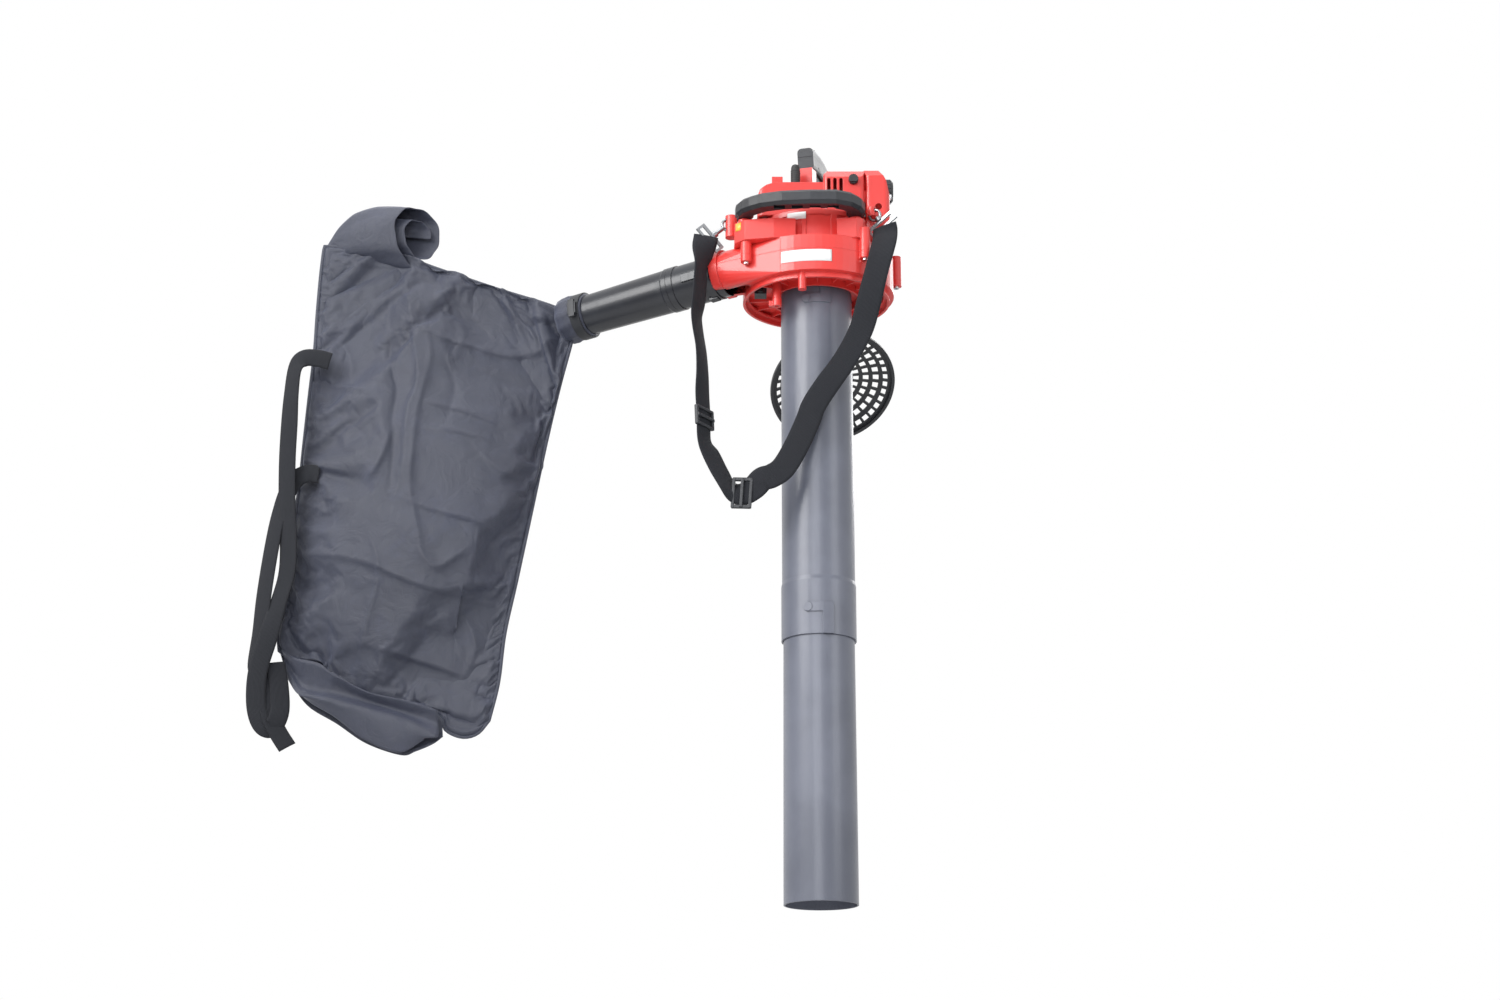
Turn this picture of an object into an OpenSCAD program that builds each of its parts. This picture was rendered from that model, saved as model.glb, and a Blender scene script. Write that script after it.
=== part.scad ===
/* [Suction tubes] */
// Outer diameter of the upper suction tube
suction_d = 105; // [100:0.5:110]
// Wall of both suction tubes
tube_wall = 2.2; // [1.6:0.1:3]
// Length of the upper tube below the fan housing
upper_tube_l = 516; // [420:1:600]
// Length of the bell socket at the foot of the upper tube
bell_l = 80; // [60:1:110]
// Length of the lower tube below the socket
lower_tube_l = 374; // [280:1:450]
// Outer diameter at the mouth of the lower tube
mouth_d = 104.5; // [100:0.5:108]
// Diameter of the bayonet pins
pin_d = 10; // [6:0.5:12]
// Turn of a tube from locked to free, in degrees
bayonet_turn = 31; // [24:1:36]

/* [Fan housing] */
// Outer radius of the scroll where it begins
scroll_start = 108; // [104:0.5:112]
// Outer radius of the scroll at the outlet
scroll_end = 120; // [117:0.5:126]
// Wall of the fan housing
shell_wall = 3; // [2:0.25:4]
// Height of the joint between the housing halves
parting_z = 42; // [36:1:48]
// Height of the scroll's top face
scroll_top = 63; // [60:1:68]
// Outer diameter of the intake flange
flange_d = 218; // [212:1:222]
// Depth of the recess inside the intake flange
recess_depth = 16; // [12:1:18]
// Radius of the round neck below the engine
neck_r = 96; // [92:1:100]
// Height of the neck's top edge
neck_top = 112; // [104:1:118]
// Number of cooling ribs under the intake floor
floor_ribs = 18; // [6:1:24]

/* [Impeller] */
// Outer radius of the impeller
impeller_r = 92; // [80:0.5:98]
// Height of the blades
blade_h = 28; // [20:1:32]
// Number of blades
blade_count = 12; // [6:1:16]
// Thickness of a blade
blade_t = 2.2; // [1.5:0.1:3]
// Radius of the curve that a blade follows
blade_curve = 62; // [50:1:90]

/* [Outlet and discharge tube] */
// Bore radius of the outlet ring
outlet_r = 32.6; // [28:0.1:36]
// Angle by which the outlet points down
outlet_dip = 5; // [0:0.5:8]
// Direction of the outlet, from +X
outlet_yaw = 152; // [146:1:158]
// Length of the adapter outside the ring
adapter_l = 75; // [60:1:95]
// Length of the discharge tube outside the adapter
discharge_l = 187; // [170:1:210]
// Outer radius of the discharge tube at the bag
discharge_r = 30.5; // [28:0.5:32]

/* [Intake guard] */
// Outer radius of the guard's rim
guard_r = 99; // [94:0.5:102]
// Depth of the guard's bowl
guard_depth = 25; // [18:1:32]
// Angle by which the guard stands open
guard_open = 142; // [120:1:150]
// Number of windows in the outer row
guard_windows = 40; // [24:2:48]
// Thickness of the bowl
guard_wall = 3; // [2:0.25:4]
// Diameter of the hinge pin
hinge_pin_d = 5; // [4:0.25:6]

/* [Handles] */
// Width of the top handle
handle_w = 24; // [20:1:30]
// Height of the top handle's section
handle_h = 33; // [28:1:38]
// Height of the front handle's section
bar_h = 22; // [18:1:26]
// Depth of the front handle's section
bar_t = 27; // [22:1:30]
// Height of the front handle's middle
bar_z = 109.5; // [104:0.5:114]

/* [Engine] */
// Bore of the cylinder
bore_d = 34; // [30:0.5:36]
// Height of the cylinder's axis
crank_z = 115; // [114:0.5:117]
// Diameter of the crankshaft
shaft_d = 12; // [10:0.5:14]
// Radius of the flywheel
flywheel_r = 46; // [40:1:50]
// Number of cylinder fins
fin_count = 7; // [4:1:9]
// Radius of the rope groove in the starter pulley
pulley_r = 30; // [26:0.5:33]

/* [Engine cover] */
// Height of the cover's top
cover_top = 165; // [163:1:170]
// Height of the raised block at the right
block_top = 184; // [178:1:190]
// Wall of the cover
cover_wall = 3; // [2:0.25:3.5]

/* [Straps] */
// Width of the shoulder strap
strap_w = 38; // [30:1:45]
// Thickness of the webbing
webbing_t = 2; // [1.4:0.1:2.6]
// Width of the bag's strap
bag_strap_w = 29; // [22:1:34]

/* [Hidden] */
$fn = 96;

// running clearances
slip = 0.2;
pin_gap = 0.05;
seat = 0.3;
big = 400;

// suction tubes
suction_r = suction_d / 2;
tube_inner_r = suction_r - tube_wall;
spigot_r = tube_inner_r - slip;
spigot_wall = 2.6;
spigot_low = -22;
tube_top = recess_depth - 4;
pin_out = 2;
track_h = pin_d + 4;
track_wall = tube_wall + 0.1;
track_z = -10;
track_angle = -108;
leg_half = 8.5;
track_side = 1.5;
mid_z = -upper_tube_l + 39;
bell_r = suction_r + 1.25;
socket_r = bell_r - 2.45;
lower_r = socket_r - 0.3;
lower_top = -upper_tube_l + bell_l - 14;
mouth_z = -upper_tube_l - lower_tube_l;
mouth_r = mouth_d / 2;

// fan housing
scroll_sweep = 298;
tongue_angle = 181;
flange_r = flange_d / 2;
skirt_w = 4;
recess_r = flange_r - skirt_w;
wall_low = 8;
ledge_w = 5;
floor_top = recess_depth + shell_wall;
top_plate = scroll_top - shell_wall;
outlet_offset = 85;
outlet_reach = 116.8;
ring_z = 36;
ring_wall = 4.4;
ring_l = 14;
duct_r = outlet_r + 1.4;
ring_at = [
    outlet_reach * cos(outlet_yaw) - outlet_offset * sin(outlet_yaw),
    outlet_reach * sin(outlet_yaw) + outlet_offset * cos(outlet_yaw),
    ring_z
];
towers = [-56, 4, 62, 118];
tower_r = 8;
tower_out = 5;
tower_low = 31;
tower_high = 78;
web_h = 28;
duct_tower = [51, 126];
screw_r = 2.2;
screw_hole_r = 2.3;
screw_head_r = 4.2;
arm_z = scroll_top + 22;
// the hollow shoulders that carry the front handle's ends on the volute: their plans
shoulder_plans = [
    [[-122, -64], [-121, -84], [-106, -99], [-64, -107], [-32, -104], [-36, -84], [-88, -32]],
    [[28, -104], [56, -109], [66, -104], [70, -96], [66, -84], [52, -79], [32, -82]]
];
shoulder_top = arm_z + 8;
boss_h = 14;
cover_posts = [[-60, 60], [0, 86]];
pad_z = neck_top - 7;
bar_low = bar_z - bar_h / 2;
ring_t = 2.2;

// impeller
blade_z = floor_top + 4;
hub_r = 14;
disc_z = blade_z + blade_h;
disc_t = 2.5;
shaft_r = shaft_d / 2;
eye_r = tube_inner_r - 4;

// guard and its hinge
hinge_at = [13, 118.5, 12];
hinge_yaw = -6;
hinge_skew = -8;
guard_centre = [0, -hinge_at[1], -hinge_at[2]];
rim_h = 6;
rim_w = 5;
bowl_r = (guard_r * guard_r + guard_depth * guard_depth) / (2 * guard_depth);
window_rows = [[93, 82, 1], [76, 67, 0.8], [61, 52, 0.7], [46, 37, 0.6]];
knuckle_r = 6;
knob_at = [-59, -52, -12];
latch_r = 6.5;

// engine
case_low = crank_z - 23;
case_high = crank_z + 23;
case_lugs = [[-38, 40], [-38, -40], [6, -54], [29, 50]];
case_lug_h = 6;
bearing_r = 14;
bearing_h = 7.5;
web_r = 19;
throw = 14;
bore_r = bore_d / 2;
barrel_r = bore_r + 5;
fin_r = bore_r + 13;
barrel_end = 77;
port_y = 34;
flywheel_z = 67;
pulley_z = case_high + 5.5;
pulley_h = 9.5;
pulley_flange = pulley_r + 5;
rope_r = 1.75;
rope_x = -pulley_r - rope_r;
rope_z = pulley_z + pulley_h / 2;
starter_r = pulley_flange + 9;
post_r = 6;

// engine cover
cover_x = [-88, 70];
cover_y = [-72, 105];
block_x = 10;
block_y = -76;
side_x = 108;
side_y = [-72, 4];
side_z = [76, 188];
tank_y = [8, 82];
tank_z = [84, 180];
tank_x = 104;
cap_at = [tank_x, 27, 193];
cap_r = 19;
choke_at = [54, block_y, 166];

// top handle: places along its length and up, in its own plane
handle_at = [-15.5, -40];
handle_yaw = 74;
spine = [[0, 217], [22, 221.5], [45, 224.5], [70, 225.5], [92, 223], [110, 214], [123, 199], [131, 182],
    [131, cover_top + 0.2]];
grip_s = 66;
grip_z = 225.5;
grip_at = [handle_at[0] + grip_s * cos(handle_yaw), handle_at[1] + grip_s * sin(handle_yaw), grip_z];
seam_drop = 3;
trigger_pivot = [33, 214];
lock_pivot = [16, 235];

// front handle: its middle line in plan
bar_line = [[-107, -84], [-106, -96], [-101, -106], [-92, -114], [-78, -124], [-50, -132.5], [-11, -136.5],
    [24, -136.5], [42, -128], [52, -116], [56, -104], [56, -92]];
bar_ends = [[-107, -84], [56, -92]];

// soft parts
lug_left = [-126, -50, 110];
lug_right = [80, -84, 112];
eye_left = [-163, -60, 76];
eye_right = [99, -92, 84];
strap_front = [-0.06, -1, 0.04];
strap_line = [[-153.2, -61.7, 84], [-161.9, -64.1, 76], [-166.6, -66, 60], [-169, -67, 36], [-170, -67, 12], [-172, -67, -18], [-175, -66, -42],
    [-173, -64, -64], [-168, -64, -96], [-166, -64, -130], [-166, -64, -164], [-164, -64, -200],
    [-163, -64, -232], [-154, -66, -254], [-141, -68, -282], [-127, -70, -306], [-110, -72, -316],
    [-93, -74, -308], [-81, -76, -296], [-67, -76, -291], [-50, -74, -277], [-31, -73, -243],
    [-15, -72, -206], [-7, -72, -184], [11, -74, -155], [38, -80, -117], [61, -92, -76], [73, -106, -36],
    [81, -114, -4], [89, -119, 26], [96, -113, 54], [98.4, -99.5, 74], [97.4, -95.9, 84], [90.8, -93.1, 93.7]];
bag_strap_line = [[-742, 71.1, -70], [-752, 70.9, -96], [-775, 65, -140], [-800, 58, -230],
    [-818, 52, -340], [-826, 52, -450], [-826, 54, -550], [-814, 56, -620], [-796, 57, -636],
    [-782, 60, -610], [-774, 64, -520], [-768, 68, -400], [-762, 71, -300], [-758, 72, -246]];
bag_hold = 38;
bag_mouth = adapter_l + discharge_l - bag_hold;
cuff_r = discharge_r + seat + 2.4;
// the bag's rounded corners: place, radius and how thick they are for their radius
bag_corners = [[-728, 92, 108, 24, 0.8], [-648, 92, 160, 36, 0.8], [-592, 90, 138, 32, 0.85],
    [-398, 108, -2, 40, 0.95], [-508, 92, -600, 28, 0.8], [-604, 92, -630, 26, 0.8],
    [-700, 92, -595, 26, 0.8], [-756, 92, -500, 28, 0.8], [-620, 96, -330, 95, 0.5]];

// a tube standing on its end
module pipe(outer, inner, h) {
    difference() {
        cylinder(r = outer, h = h);
        translate([0, 0, -1]) cylinder(r = inner, h = h + 2);
    }
}

// a part of a ring, from one angle to another
module sector(outer, inner, h, from, to) {
    rotate([0, 0, from]) rotate_extrude(angle = to - from)
        translate([inner, 0]) square([outer - inner, h]);
}

// a rectangle with round corners, by its limits
module round_plan(x, y, r) {
    translate([x[0] + r, y[0]]) square([x[1] - x[0] - 2 * r, y[1] - y[0]]);
    translate([x[0], y[0] + r]) square([x[1] - x[0], y[1] - y[0] - 2 * r]);
    for (cx = [x[0] + r, x[1] - r], cy = [y[0] + r, y[1] - r])
        translate([cx, cy]) circle(r = r);
}

// a block with round corners in plan
module round_block(x, y, z, r) {
    translate([0, 0, z[0]]) linear_extrude(z[1] - z[0]) round_plan(x, y, r);
}

// turns +Z to point from a to b and moves it to a
module along(a, b) {
    v = b - a;
    translate(a) rotate([0, acos(v[2] / norm(v)), atan2(v[1], v[0])]) children();
}

// a closed skin through rings of points, each ring with the same number of points
module skin(rings) {
    n = len(rings[0]);
    last = (len(rings) - 1) * n;
    polyhedron(
        points = [for (ring = rings) each ring],
        faces = concat(
            [[for (i = [0:n - 1]) i]],
            [[for (i = [n - 1:-1:0]) last + i]],
            [for (k = [0:len(rings) - 2], i = [0:n - 1], t = [0, 1])
                let (a = k * n + i, b = k * n + (i + 1) % n)
                t == 0 ? [a, a + n, b] : [b, a + n, b + n]]
        )
    );
}

function unit(v) = v / norm(v);
function heading(line, i) = unit(line[min(i + 1, len(line) - 1)] - line[max(i - 1, 0)]);

// the profile stands across the line, its first axis along side(i)
module sweep(line, profile, sides) {
    skin([for (i = [0:len(line) - 1])
        let (t = heading(line, i), s = unit(sides[i] - t * (sides[i] * t)), u = cross(t, s))
        [for (q = profile) line[i] + s * q[0] + u * q[1]]]);
}

function round_section(r, n) = [for (i = [0:n - 1]) [r * cos(360 * i / n), r * sin(360 * i / n)]];
function flat_section(w, t) = [[w / 2, t / 2], [-w / 2, t / 2], [-w / 2, -t / 2], [w / 2, -t / 2]];
function soft_section(w, h, c) = [[w / 2, h / 2 - c], [w / 2 - c, h / 2], [c - w / 2, h / 2],
    [-w / 2, h / 2 - c], [-w / 2, c - h / 2], [c - w / 2, -h / 2], [w / 2 - c, -h / 2], [w / 2, c - h / 2]];

// ---------- suction tubes ----------

// the raised track that a bayonet pin runs in: a level run and a leg to the open end
module track(outer, inner, z, leg_to, swell) {
    h = track_h - 2 * swell;
    edge = swell / outer * 60;
    foot = leg_to > z ? z - h / 2 + 0.5 : leg_to;
    top = leg_to > z ? leg_to : z + h / 2 - 0.5;
    for (side = [0, 180]) rotate([0, 0, track_angle + side]) {
        translate([0, 0, z - h / 2]) sector(outer, inner, h, 0, bayonet_turn + leg_half - edge - 1);
        translate([inner + 0.3, 0, z]) rotate([0, 90, 0]) cylinder(r = h / 2 - 0.3, h = outer - inner + 0.3);
        translate([0, 0, foot])
            sector(outer + 0.2, inner, top - foot, bayonet_turn - leg_half + edge, bayonet_turn + leg_half - edge);
    }
}

module upper_tube() {
    color("#3b3e44")
    difference() {
        union() {
            rotate_extrude() polygon([
                [tube_inner_r, tube_top], [suction_r, tube_top], [suction_r, -upper_tube_l + bell_l + 6],
                [bell_r, -upper_tube_l + bell_l], [bell_r, -upper_tube_l], [socket_r, -upper_tube_l],
                [socket_r, lower_top + 2], [tube_inner_r, lower_top + 4]]);
            track(tube_inner_r + pin_out + track_wall, tube_inner_r + 1, track_z, tube_top, 0);
            track(socket_r + pin_out + track_wall, socket_r + 1, mid_z, -upper_tube_l, 0);
        }
        track(tube_inner_r + pin_out + slip + 0.3, tube_inner_r - 3, track_z, tube_top + 1, track_side);
        track(socket_r + pin_out + slip, socket_r - 3, mid_z, -upper_tube_l - 1, track_side);
    }
}

module lower_tube() {
    color("#3b3e44")
    difference() {
        union() {
            rotate_extrude() polygon([
                [1, lower_top], [lower_r - 1, lower_top], [lower_r, lower_top - 3],
                [lower_r, -upper_tube_l], [mouth_r, mouth_z + 30], [mouth_r, mouth_z], [1, mouth_z]]);
            for (side = [0, 180])
                rotate([0, 0, track_angle + side]) translate([0, 0, mid_z]) rotate([0, 90, 0])
                    cylinder(d = pin_d, h = lower_r + pin_out);
        }
        rotate_extrude() polygon([
            [0, lower_top + 1], [lower_r - tube_wall, lower_top + 1], [lower_r - tube_wall, -upper_tube_l],
            [mouth_r - tube_wall, mouth_z + 30], [mouth_r - tube_wall, mouth_z - 1], [0, mouth_z - 1]]);
    }
}

// ---------- fan housing ----------

function scroll_r(angle) = scroll_start + (scroll_end - scroll_start) * (tongue_angle - angle) / scroll_sweep;

module scroll_plan(inset) {
    polygon([for (i = [0:60])
        let (a = tongue_angle - i * scroll_sweep / 60, r = scroll_r(a) - inset)
        [r * cos(a), r * sin(a)]]);
}

module scroll_block(inset, z) {
    translate([0, 0, z[0]]) linear_extrude(z[1] - z[0]) scroll_plan(inset);
}

module at_outlet() {
    translate(ring_at) rotate([0, 90 + outlet_dip, outlet_yaw]) children();
}

// the passage from the scroll's square mouth to the round outlet
module duct(inset) {
    hull() {
        rotate([0, 0, outlet_yaw]) translate([inset == 0 ? -4 : 0, 51 + inset, wall_low + inset])
            cube([1, scroll_end - 51.5 - 2 * inset, scroll_top - wall_low - 2 * inset]);
        at_outlet() translate([0, 0, -ring_l]) cylinder(r = duct_r - inset, h = 1.5, $fn = 36);
    }
}

module tower_places() {
    for (a = towers) rotate([0, 0, a]) translate([scroll_r(a) + tower_out, 0, 0]) children();
    rotate([0, 0, outlet_yaw]) translate([duct_tower[0], duct_tower[1], 0]) children();
}

module hinge_frame() {
    translate(hinge_at) rotate([0, 0, hinge_yaw]) rotate([0, hinge_skew, 0]) children();
}

module housing_half(z) {
    difference() {
        intersection() {
            union() {
                scroll_block(0, [wall_low, scroll_top]);
                duct(0);
                at_outlet() translate([0, 0, 0.6 - ring_l]) cylinder(r = outlet_r + ring_wall, h = ring_l - 0.6);
                tower_places() translate([0, 0, tower_low]) cylinder(r = tower_r, h = tower_high - tower_low);
                rotate([0, 0, outlet_yaw]) translate([duct_tower[0] - 2, duct_tower[1] - 12, tower_low])
                    cube([4, 12, web_h]);
            }
            translate([-big, -big, z[0]]) cube([2 * big, 2 * big, z[1] - z[0]]);
        }
        scroll_block(shell_wall, [wall_low + shell_wall, top_plate]);
        duct(shell_wall);
        at_outlet() translate([0, 0, -ring_l - 1]) cylinder(r = outlet_r, h = ring_l + 2);
        tower_places() translate([0, 0, -1]) cylinder(r = screw_hole_r, h = tower_high - 3);
    }
}

module lower_volute() {
    color("#d8352a")
    difference() {
        union() {
            difference() {
                housing_half([wall_low, parting_z]);
                translate([0, 0, wall_low - 1]) cylinder(r = recess_r - ledge_w, h = floor_top - wall_low);
            }
            pipe(flange_r, recess_r, wall_low + shell_wall);
            translate([0, 0, recess_depth]) cylinder(r = recess_r + shell_wall, h = shell_wall);
            translate([0, 0, wall_low]) pipe(recess_r + shell_wall, recess_r, floor_top - wall_low);
            translate([0, 0, 4]) pipe(66, 63.5, recess_depth - 3);
            translate([0, 0, spigot_low]) cylinder(r = spigot_r, h = floor_top - spigot_low);
            for (side = [0, 180])
                rotate([0, 0, track_angle + side]) translate([0, 0, track_z]) rotate([0, 90, 0])
                    cylinder(d = pin_d, h = spigot_r + pin_out);
            for (i = [0:floor_ribs - 1]) if (i != floor_ribs / 2)
                rotate([0, 0, (i + 0.5) * 360 / floor_ribs]) translate([66 - 1, -1, recess_depth - 7])
                    cube([recess_r - 64, 2, 8]);
            translate([-23, -103, -18]) cylinder(r = 6, h = 18 + wall_low);
            translate([knob_at[0], knob_at[1], knob_at[2]])
                cylinder(r = latch_r, h = recess_depth - knob_at[2]);
            hinge_frame() for (x = [-31, 25]) translate([x, 0, 0]) rotate([0, 90, 0])
                cylinder(r = knuckle_r, h = 12);
            hinge_frame() for (x = [-31, 25]) translate([x, -14, -4]) cube([12, 14, 9]);
        }
        translate([0, 0, recess_depth - 30 - big]) cylinder(r = spigot_r - spigot_wall, h = 2 * big);
        translate([knob_at[0], knob_at[1], knob_at[2] - 1]) cylinder(r = 2.55, h = 18);
        hinge_frame() translate([-40, 0, 0]) rotate([0, 90, 0]) cylinder(d = hinge_pin_d + 2 * pin_gap, h = 90);
    }
}

// a plan drawn in toward its middle
function drawn_in(plan, share) =
    let (middle = [for (i = [0, 1]) [for (p = plan) p[i]] * [for (p = plan) 1] / len(plan)])
    [for (p = plan) middle + (p - middle) * share];

module shoulder(plan) {
    difference() {
        translate([0, 0, scroll_top - 1]) linear_extrude(shoulder_top - scroll_top + 1) polygon(plan);
        translate([0, 0, scroll_top + 1]) linear_extrude(shoulder_top - scroll_top - 4)
            polygon(drawn_in(plan, 0.88));
    }
}

module upper_volute() {
    pockets = [[-160, -128], [-122, -104], [-100, -78], [-72, -64]];
    color("#d8352a")
    difference() {
        union() {
            housing_half([parting_z, tower_high]);
            difference() {
                translate([0, 0, scroll_top - 1]) cylinder(r = neck_r, h = neck_top - scroll_top + 1);
                translate([0, 0, scroll_top]) cylinder(r = neck_r - shell_wall, h = big);
                for (p = pockets) translate([0, 0, scroll_top + 4])
                    sector(neck_r + 2, neck_r - 1.6, neck_top - scroll_top - 12, p[0], p[1]);
                translate([50, -44, crank_z - 30]) cube([big, 88, big]);
                translate([33, 40, crank_z - 21]) cube([big, big, big]);
            }
            for (end = bar_ends) translate([end[0], end[1], bar_low - boss_h])
                cylinder(r = 9, h = boss_h - seat);
            for (plan = shoulder_plans) shoulder(plan);
            arm([-77, -48], lug_left, 8);
            translate([lug_left[0], lug_left[1], scroll_top + 22]) cylinder(r = 9, h = 34);
            for (p = case_lugs) translate([p[0], p[1], scroll_top - 1])
                cylinder(r = 5.5, h = case_low - pin_gap - scroll_top + 1);
            for (p = cover_posts) translate([p[0], p[1], pad_z]) {
                cylinder(r = 7, h = 6.5);
                rotate([0, 0, atan2(p[1], p[0])]) translate([0, -5, 0.5])
                    cube([neck_r - 1 - norm(p), 10, 5]);
            }
        }
        translate([0, 0, parting_z]) cylinder(r = 20, h = big);
        duct(shell_wall);
        for (end = bar_ends) translate([end[0], end[1], bar_low - boss_h - 1])
            cylinder(r = screw_hole_r, h = boss_h + 2);
        hook_ring(lug_left, eye_left, ring_t + 1);
        tower_places() translate([0, 0, tower_low]) cylinder(r = screw_hole_r, h = tower_high - tower_low - 4);
        for (a = [-136, -62]) rotate([0, 0, a]) translate([neck_r - 9, -8, scroll_top + 6]) cube([13, 16, 12]);
        for (p = case_lugs) translate([p[0], p[1], case_low - 16]) cylinder(r = screw_hole_r, h = 20);
        for (p = cover_posts) translate([p[0], p[1], pad_z - 1]) cylinder(r = screw_hole_r, h = 10);
    }
}

// a web that carries a boss beside the neck
module arm(from, to, w) {
    v = [to[0], to[1]] - from;
    translate([from[0], from[1], arm_z]) rotate([0, 0, atan2(v[1], v[0])]) difference() {
        translate([0, -w / 2, 0]) cube([norm(v), w, 9]);
    }
}

module screw(l, up) {
    mirror([0, 0, up ? 0 : 1]) {
        cylinder(r = screw_r, h = l);
        difference() {
            translate([0, 0, -3]) cylinder(r = screw_head_r, h = 3);
            translate([0, 0, -4]) cylinder(r = 1.8, h = 2.6, $fn = 6);
        }
    }
}

module housing_screws() {
    color("#9a9ca0") {
        tower_places() translate([0, 0, tower_low]) screw(tower_high - tower_low - 6, true);
        for (p = case_lugs) translate([p[0], p[1], case_low + case_lug_h]) screw(20, false);
    }
}

// ---------- impeller and crank ----------

module blade() {
    translate([0, 0, blade_z]) linear_extrude(blade_h + 0.5) intersection() {
        difference() {
            translate([blade_curve - 16, 42]) circle(r = blade_curve + blade_t / 2);
            translate([blade_curve - 16, 42]) circle(r = blade_curve - blade_t / 2);
        }
        difference() {
            circle(r = impeller_r - 1);
            circle(r = 44);
        }
        translate([-120, -120]) square([blade_curve + 100, 250]);
        translate([-120, -20]) square([240, 140]);
    }
}

module impeller() {
    color("#2b2d31")
    difference() {
        union() {
            for (i = [0:blade_count - 1]) rotate([0, 0, i * 360 / blade_count]) blade();
            translate([0, 0, disc_z]) cylinder(r = impeller_r, h = disc_t);
            translate([0, 0, blade_z + 4]) cylinder(r1 = hub_r - 2, r2 = hub_r + 10, h = blade_h - 4);
            translate([0, 0, blade_z - 1]) pipe(impeller_r, 60, 2);
        }
        translate([0, 0, -1]) cylinder(r = shaft_r + pin_gap, h = 100);
        translate([0, 0, blade_z]) cylinder(r = 9.5, h = 9);
    }
}

module impeller_nut() {
    color("#a8aaad")
    translate([0, 0, blade_z + 1]) difference() {
        union() {
            cylinder(r = 8, h = 8, $fn = 6);
            cylinder(r = 9, h = 1.6);
        }
        translate([0, 0, -1]) cylinder(r = shaft_r + pin_gap, h = 20);
    }
}

module crankshaft() {
    color("#8d9094")
    difference() {
        union() {
            translate([0, 0, blade_z - 3]) cylinder(r = shaft_r, h = crank_z - 8 - blade_z + 3);
            for (z = [crank_z - 13, crank_z + 7]) translate([0, 0, z]) cylinder(r = web_r, h = 6);
            translate([throw - 3, 0, crank_z - 8]) cylinder(r = 5, h = 16);
            translate([0, 0, crank_z + 12]) cylinder(r = shaft_r, h = case_high + 2.5 - crank_z - 12);
        }
    }
}

module flywheel() {
    color("#7d8084")
    translate([0, 0, flywheel_z]) difference() {
        union() {
            cylinder(r = flywheel_r, h = 14);
            for (i = [0:15]) rotate([0, 0, i * 22.5]) translate([20, -1.2, 12]) cube([22, 2.4, 6]);
            cylinder(r = 13, h = 20);
        }
        translate([0, 0, -1]) cylinder(r = shaft_r + pin_gap, h = 40);
        translate([0, 0, -1]) pipe(flywheel_r - 8, 17, 6);
    }
}

module case_plan(z, bearing_low) {
    difference() {
        union() {
            round_block([-34, 32], [-34, 34], z, 12);
            for (x = [-30, 24], y = [-30, 30]) translate([x, y, z[0]]) cylinder(r = 7, h = z[1] - z[0]);
        }
        translate([0, 0, z[0] - 1]) cylinder(r = shaft_r + 2, h = 100);
        translate([0, 0, crank_z - 13 - 1]) cylinder(r = web_r + 2, h = 28);
        translate([0, 0, bearing_low]) cylinder(r = bearing_r + pin_gap, h = bearing_h + 1);
        translate([-5, 0, crank_z]) rotate([0, 90, 0]) cylinder(r = bore_r + 2.5, h = 60);
    }
}

module crankcase_lower() {
    color("#a5a8ab")
    difference() {
        union() {
            case_plan([case_low, crank_z - pin_gap], case_low + 2);
            for (p = case_lugs) {
                translate([p[0], p[1], case_low]) cylinder(r = 7, h = case_lug_h);
                translate([0, 0, case_low]) rotate([0, 0, atan2(p[1], p[0])]) translate([28, -5, 0.4])
                    cube([norm(p) - 28, 10, case_lug_h - 1]);
            }
        }
        translate([0, 0, case_low - 1]) cylinder(r = bearing_r - 2, h = 4);
        for (p = case_lugs) translate([p[0], p[1], case_low - 1]) cylinder(r = screw_hole_r, h = 10);
    }
}

module crankcase_upper() {
    color("#a5a8ab")
    difference() {
        case_plan([crank_z, case_high], case_high - 2 - bearing_h - 1);
        translate([0, 0, case_high - 3]) cylinder(r = bearing_r - 2, h = 4);
    }
}

module shaft_bearings() {
    color("#c3c6c9")
    for (z = [case_low + 2.1, case_high - 2.1 - bearing_h]) translate([0, 0, z]) difference() {
        cylinder(r = bearing_r, h = bearing_h);
        translate([0, 0, -1]) cylinder(r = shaft_r + pin_gap, h = 20);
        translate([0, 0, -1]) pipe(bearing_r - 2.5, shaft_r + 2.5, 2.2);
        translate([0, 0, bearing_h - 1.2]) pipe(bearing_r - 2.5, shaft_r + 2.5, 3);
    }
}

module shaft_seals() {
    color("#2a2018")
    for (z = [case_low, case_high - 2]) translate([0, 0, z])
        pipe(bearing_r - 2 - pin_gap, shaft_r + pin_gap, 2);
}

// ---------- cylinder and what bolts to it ----------

module cylinder_barrel(r, x, l) {
    translate([x, 0, crank_z]) rotate([0, 90, 0]) cylinder(r = r, h = l);
}

module cylinder_block() {
    pitch = (barrel_end - 40) / fin_count;
    difference() {
        union() {
            cylinder_barrel(barrel_r, 32 + pin_gap, barrel_end - 32 - 2 * pin_gap);
            cylinder_barrel(bore_r + 2.4, 22, 12);
            for (i = [0:fin_count - 1]) translate([40 + i * pitch, 0, 0]) intersection() {
                cylinder_barrel(fin_r, 0, 2);
                translate([-5, -fin_r + 2, crank_z - fin_r + 1]) cube([10, 2 * fin_r - 4, 2 * fin_r - 2]);
            }
            translate([36, -port_y, crank_z - 12]) cube([28, 2 * port_y, 24]);
        }
        cylinder_barrel(bore_r + pin_gap, 0, 71.5);
        cylinder_barrel(5, 60, 30);
        for (side = [-1, 1]) translate([50, 0, crank_z]) rotate([90 * side, 0, 0])
            cylinder(r = 8, h = port_y + 5);
    }
}

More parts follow.
